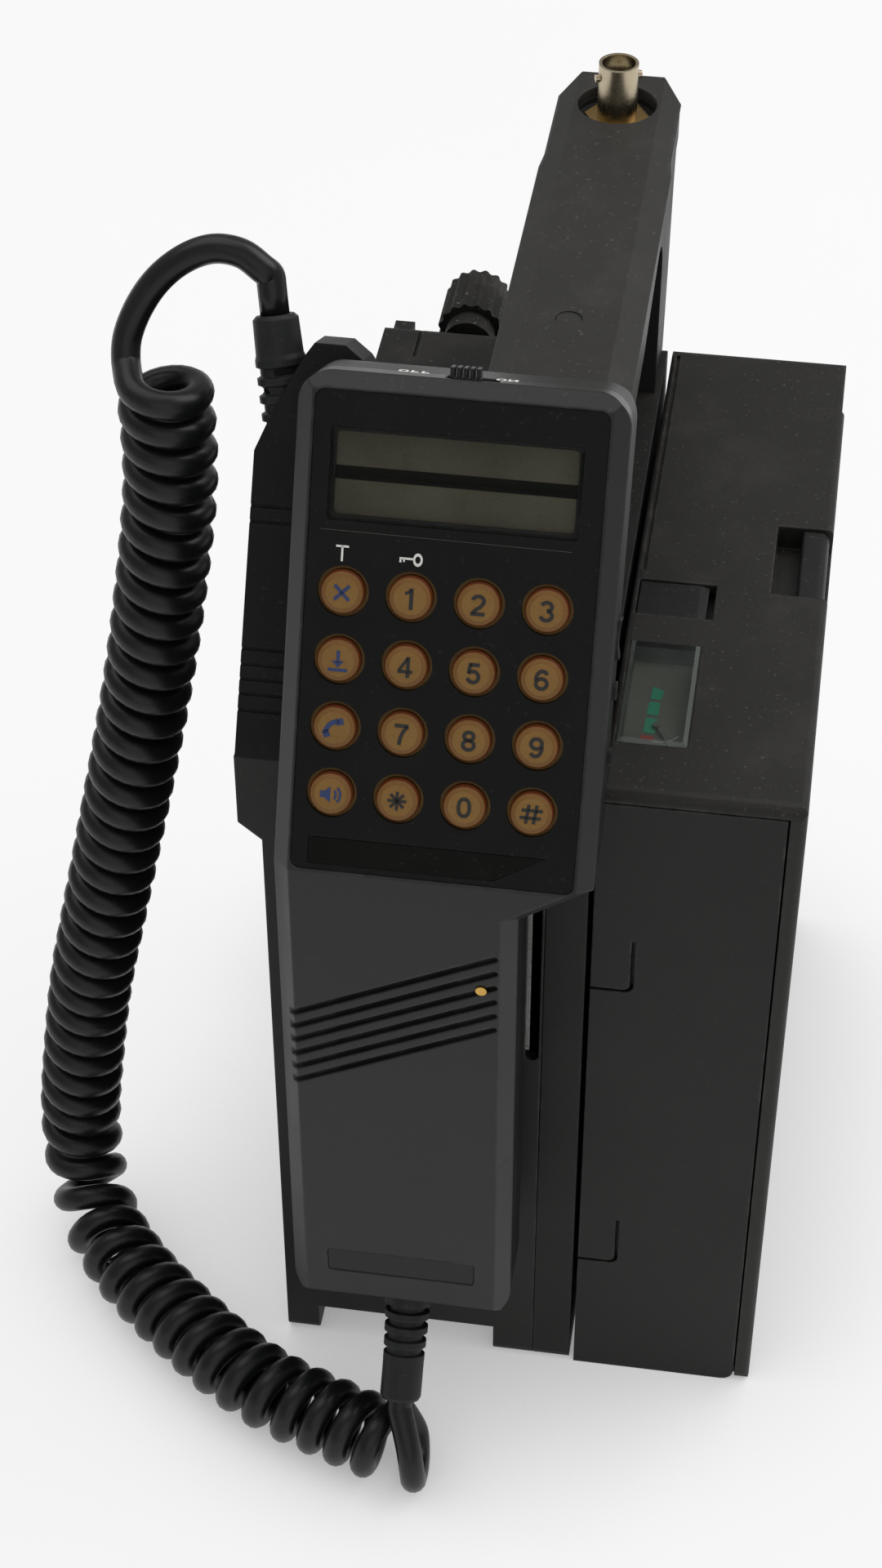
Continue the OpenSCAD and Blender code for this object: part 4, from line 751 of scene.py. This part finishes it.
# strokes of the digits and letters, in millimetres round their middle
W = 0.74
GLYPHS = {
    "0": ribbon(oval(0, 0, 1.12, 1.8, n=32, power=2.3), W, True),
    "1": ribbon([(0.3, -2.17), (0.3, 2.17)], W + 0.04)
         + ribbon([(-1.0, 1.12), (-0.45, 1.2), (-0.05, 1.5), (0.1, 1.98)], 0.6),
    "2": ribbon(oval(0.02, 0.86, 1.12, 0.96, 172, -28, 16)
                + [(0.5, -0.3), (-0.45, -0.98), (-0.92, -1.6), (-1.0, -1.8)], W)
         + ribbon([(-1.42, -1.8), (1.42, -1.8)], W),
    "3": ribbon(oval(-0.02, 0.98, 1.02, 0.84, 165, -88, 16), W)
         + ribbon(oval(-0.02, -0.84, 1.14, 0.98, 88, -168, 18), W),
    "4": ribbon([(0.5, -2.17), (0.5, 2.1)], W) + ribbon([(0.42, 1.85), (-1.3, -0.72)], 0.62)
         + ribbon([(-1.55, -0.92), (1.45, -0.92)], 0.68),
    "5": ribbon([(1.2, 1.8), (-0.7, 1.8)], W) + ribbon([(-0.66, 2.1), (-0.98, -0.02)], 0.7)
         + ribbon(oval(-0.04, -0.68, 1.14, 1.14, 145, -165, 20), W),
    "6": ribbon(oval(0.02, -0.78, 1.12, 1.04), W, True)
         + ribbon(oval(0.14, 0.1, 1.24, 1.72, 190, 40, 16), W),
    "7": ribbon([(-1.4, 1.8), (1.4, 1.8)], W)
         + ribbon([(1.2, 1.7), (0.45, 0.72), (-0.1, -0.55), (-0.38, -2.17)], 0.76),
    "8": ribbon(oval(0, 0.98, 0.98, 0.84), W, True) + ribbon(oval(0, -0.86, 1.14, 0.96), W, True),
}
GLYPHS["9"] = [[(-x, -y) for x, y in q] for q in GLYPHS["6"]]
CAPS = {
    "O": ribbon(oval(0, 0, 0.8, 1.2, n=24), 0.5, True),
    "F": ribbon([(-0.6, -1.45), (-0.6, 1.45)], 0.5) + ribbon([(-0.6, 1.2), (0.8, 1.2)], 0.48)
         + ribbon([(-0.6, 0.1), (0.6, 0.1)], 0.45),
    "N": ribbon([(-0.75, -1.45), (-0.75, 1.45)], 0.46) + ribbon([(0.75, -1.45), (0.75, 1.45)], 0.46)
         + ribbon([(-0.75, 1.3), (0.75, -1.3)], 0.5),
}
STAR_R = 1.95

KEY_X0, KEY_Y0, KEY_PX, KEY_PY = HS_X0 + 0.0117, 0.0172, 0.01375, 0.014
KEY_FACE = 0.00121                # a key's face over the panel
PANEL_FACE = -0.00029
GRID = [["key_clear", "key_1", "key_2", "key_3"], ["key_store", "key_4", "key_5", "key_6"],
        ["key_call", "key_7", "key_8", "key_9"], ["key_hands", "key_star", "key_0", "key_hash"]]


def on_key(name, key, outlines, mat):
    """A mark on the middle of a key."""
    for r, row in enumerate(GRID):
        if key in row:
            at = up_at(KEY_X0 + row.index(key) * KEY_PX, KEY_Y0 + (3 - r) * KEY_PY, KEY_FACE)
            shape(name, outlines, at, mat, body_of(NODES[key])[0])


for digit in "1234567890":
    on_key("digit_" + digit, "key_" + digit, GLYPHS[digit], ink)
star = []
for a in (0, 45, 90, 135):
    x, y = STAR_R * math.cos(math.radians(a)), STAR_R * math.sin(math.radians(a))
    star.append(bar(x, y, -x, -y, 0.62))
on_key("mark_star", "key_star", star, ink)
on_key("mark_hash", "key_hash", [bar(-2.0, 0.8, 2.3, 0.8, 0.66), bar(-2.3, -0.8, 2.0, -0.8, 0.66),
                                 bar(-1.05, -2.0, -0.55, 2.0, 0.66), bar(0.55, -2.0, 1.05, 2.0, 0.66)], ink)
# plain symbols on the four function keys
on_key("mark_clear", "key_clear", [bar(-1.5, -1.5, 1.5, 1.5, 0.7), bar(-1.5, 1.5, 1.5, -1.5, 0.7)], blue_ink)
on_key("mark_store", "key_store", [bar(0, 2.1, 0, -0.4, 0.7), [(-1.3, 0), (0, -1.35), (1.3, 0)],
                                   bar(-2, -1.9, 2, -1.9, 0.62)], blue_ink)
on_key("mark_call", "key_call", ring(0.9, -1.2, 2.1, 3.1, 88, 182, 14)
       + [bar(0.4, 1.2, 1.85, 1.6, 1.3), bar(-1.85, -0.5, -1.3, -1.95, 1.3)], blue_ink)
on_key("mark_hands", "key_hands", [[(-2.1, -0.7), (-2.1, 0.7), (-1.2, 0.7), (0, 1.7), (0, -1.7), (-1.2, -0.7)]]
       + ring(-0.1, 0, 1.0, 1.5, -45, 45, 8) + ring(-0.1, 0, 1.9, 2.4, -45, 45, 8), blue_ink)

# small generic symbols above the first row: an aerial and a key
shape("mark_aerial", [bar(0, -1.6, 0, 1.6, 0.42), bar(-1.3, 1.45, 1.3, 1.45, 0.42)],
      up_at(-0.0359, 0.0669, PANEL_FACE), white_ink, "handset")
shape("mark_key", ring(1.5, 0, 0.75, 1.35, 0, 360, 24, 0.72)
      + [bar(-2.2, 0.1, 0.65, 0.1, 0.42), bar(-2.0, 0.1, -2.0, -0.75, 0.4), bar(-1.3, 0.1, -1.3, -0.6, 0.35)],
      up_at(-0.0221, 0.0669, PANEL_FACE), white_ink, "handset")

# the power switch's two ends
shape("mark_off", moved(CAPS["O"], -2.15) + moved(CAPS["F"], 0.2) + moved(CAPS["F"], 2.35),
      end_at(-0.0249, 0.0094), white_ink, "handset")
shape("mark_on", moved(CAPS["O"], -1.15) + moved(CAPS["N"], 1.2),
      end_at(-0.0061, 0.0080), white_ink, "handset")


# ------------------------------------------------------------------ display and gauge
PLATE_T = 0.00005


def on_face(name, corners, out, mat):
    """A thin plate on the upper face; corners in millimetres across and up the slope."""
    shape(name, [corners], up_at(0, 0, out), mat, "handset", PLATE_T)


def row_corners(low, high):
    return [(ROW_X0, low), (ROW_X1, low), (ROW_X1, high), (ROW_X0, high)]


LCD_FACE = -0.0026
ROW_X0, ROW_X1 = -39.2, 10.4
on_face("lcd_row_upper", row_corners(84.3, 91.4), LCD_FACE, lcd_row)
on_face("lcd_row_lower", row_corners(73.8, 81.5), LCD_FACE, lcd_row)
# a thin pale strip on the window's lower edge, a painted glint
on_face("painted_window_glint", [(-40.6, 71.5), (9.9, 71.2), (9.9, 71.3), (-40.6, 71.6)], PANEL_FACE, painted_glint)

DIAL_Z = 0.18825
ARC_W, ARC_LIFT = 0.3, 0.0001


def on_dial(name, corners, mat, lift=0.0):
    shape(name, [corners], Matrix.Translation((0, 0, DIAL_Z + lift)), mat, "battery_pack", PLATE_T)


on_dial("gauge_block_1", [(25.1, -42.6), (27.7, -43.8), (27.3, -47.0), (24.9, -46.8)], green_ink)
on_dial("gauge_block_2", [(24.8, -47.8), (27.3, -48.0), (27.1, -52.4), (24.6, -52.2)], green_ink)
on_dial("gauge_block_3", [(24.6, -53.2), (27.1, -53.4), (26.9, -58.4), (24.4, -58.2)], green_ink)
on_dial("gauge_block_4", [(24.0, -59.2), (26.9, -59.4), (26.8, -60.8), (24.1, -60.6)], red_ink)
ARC = [(26.6, -61.1), (28.2, -61.3), (29.6, -60.9), (31.0, -60.0), (32.2, -58.7)]
for i in range(len(ARC) - 1):
    on_dial(f"gauge_arc_{i}", bar(*ARC[i], *ARC[i + 1], ARC_W), white_ink, ARC_LIFT)
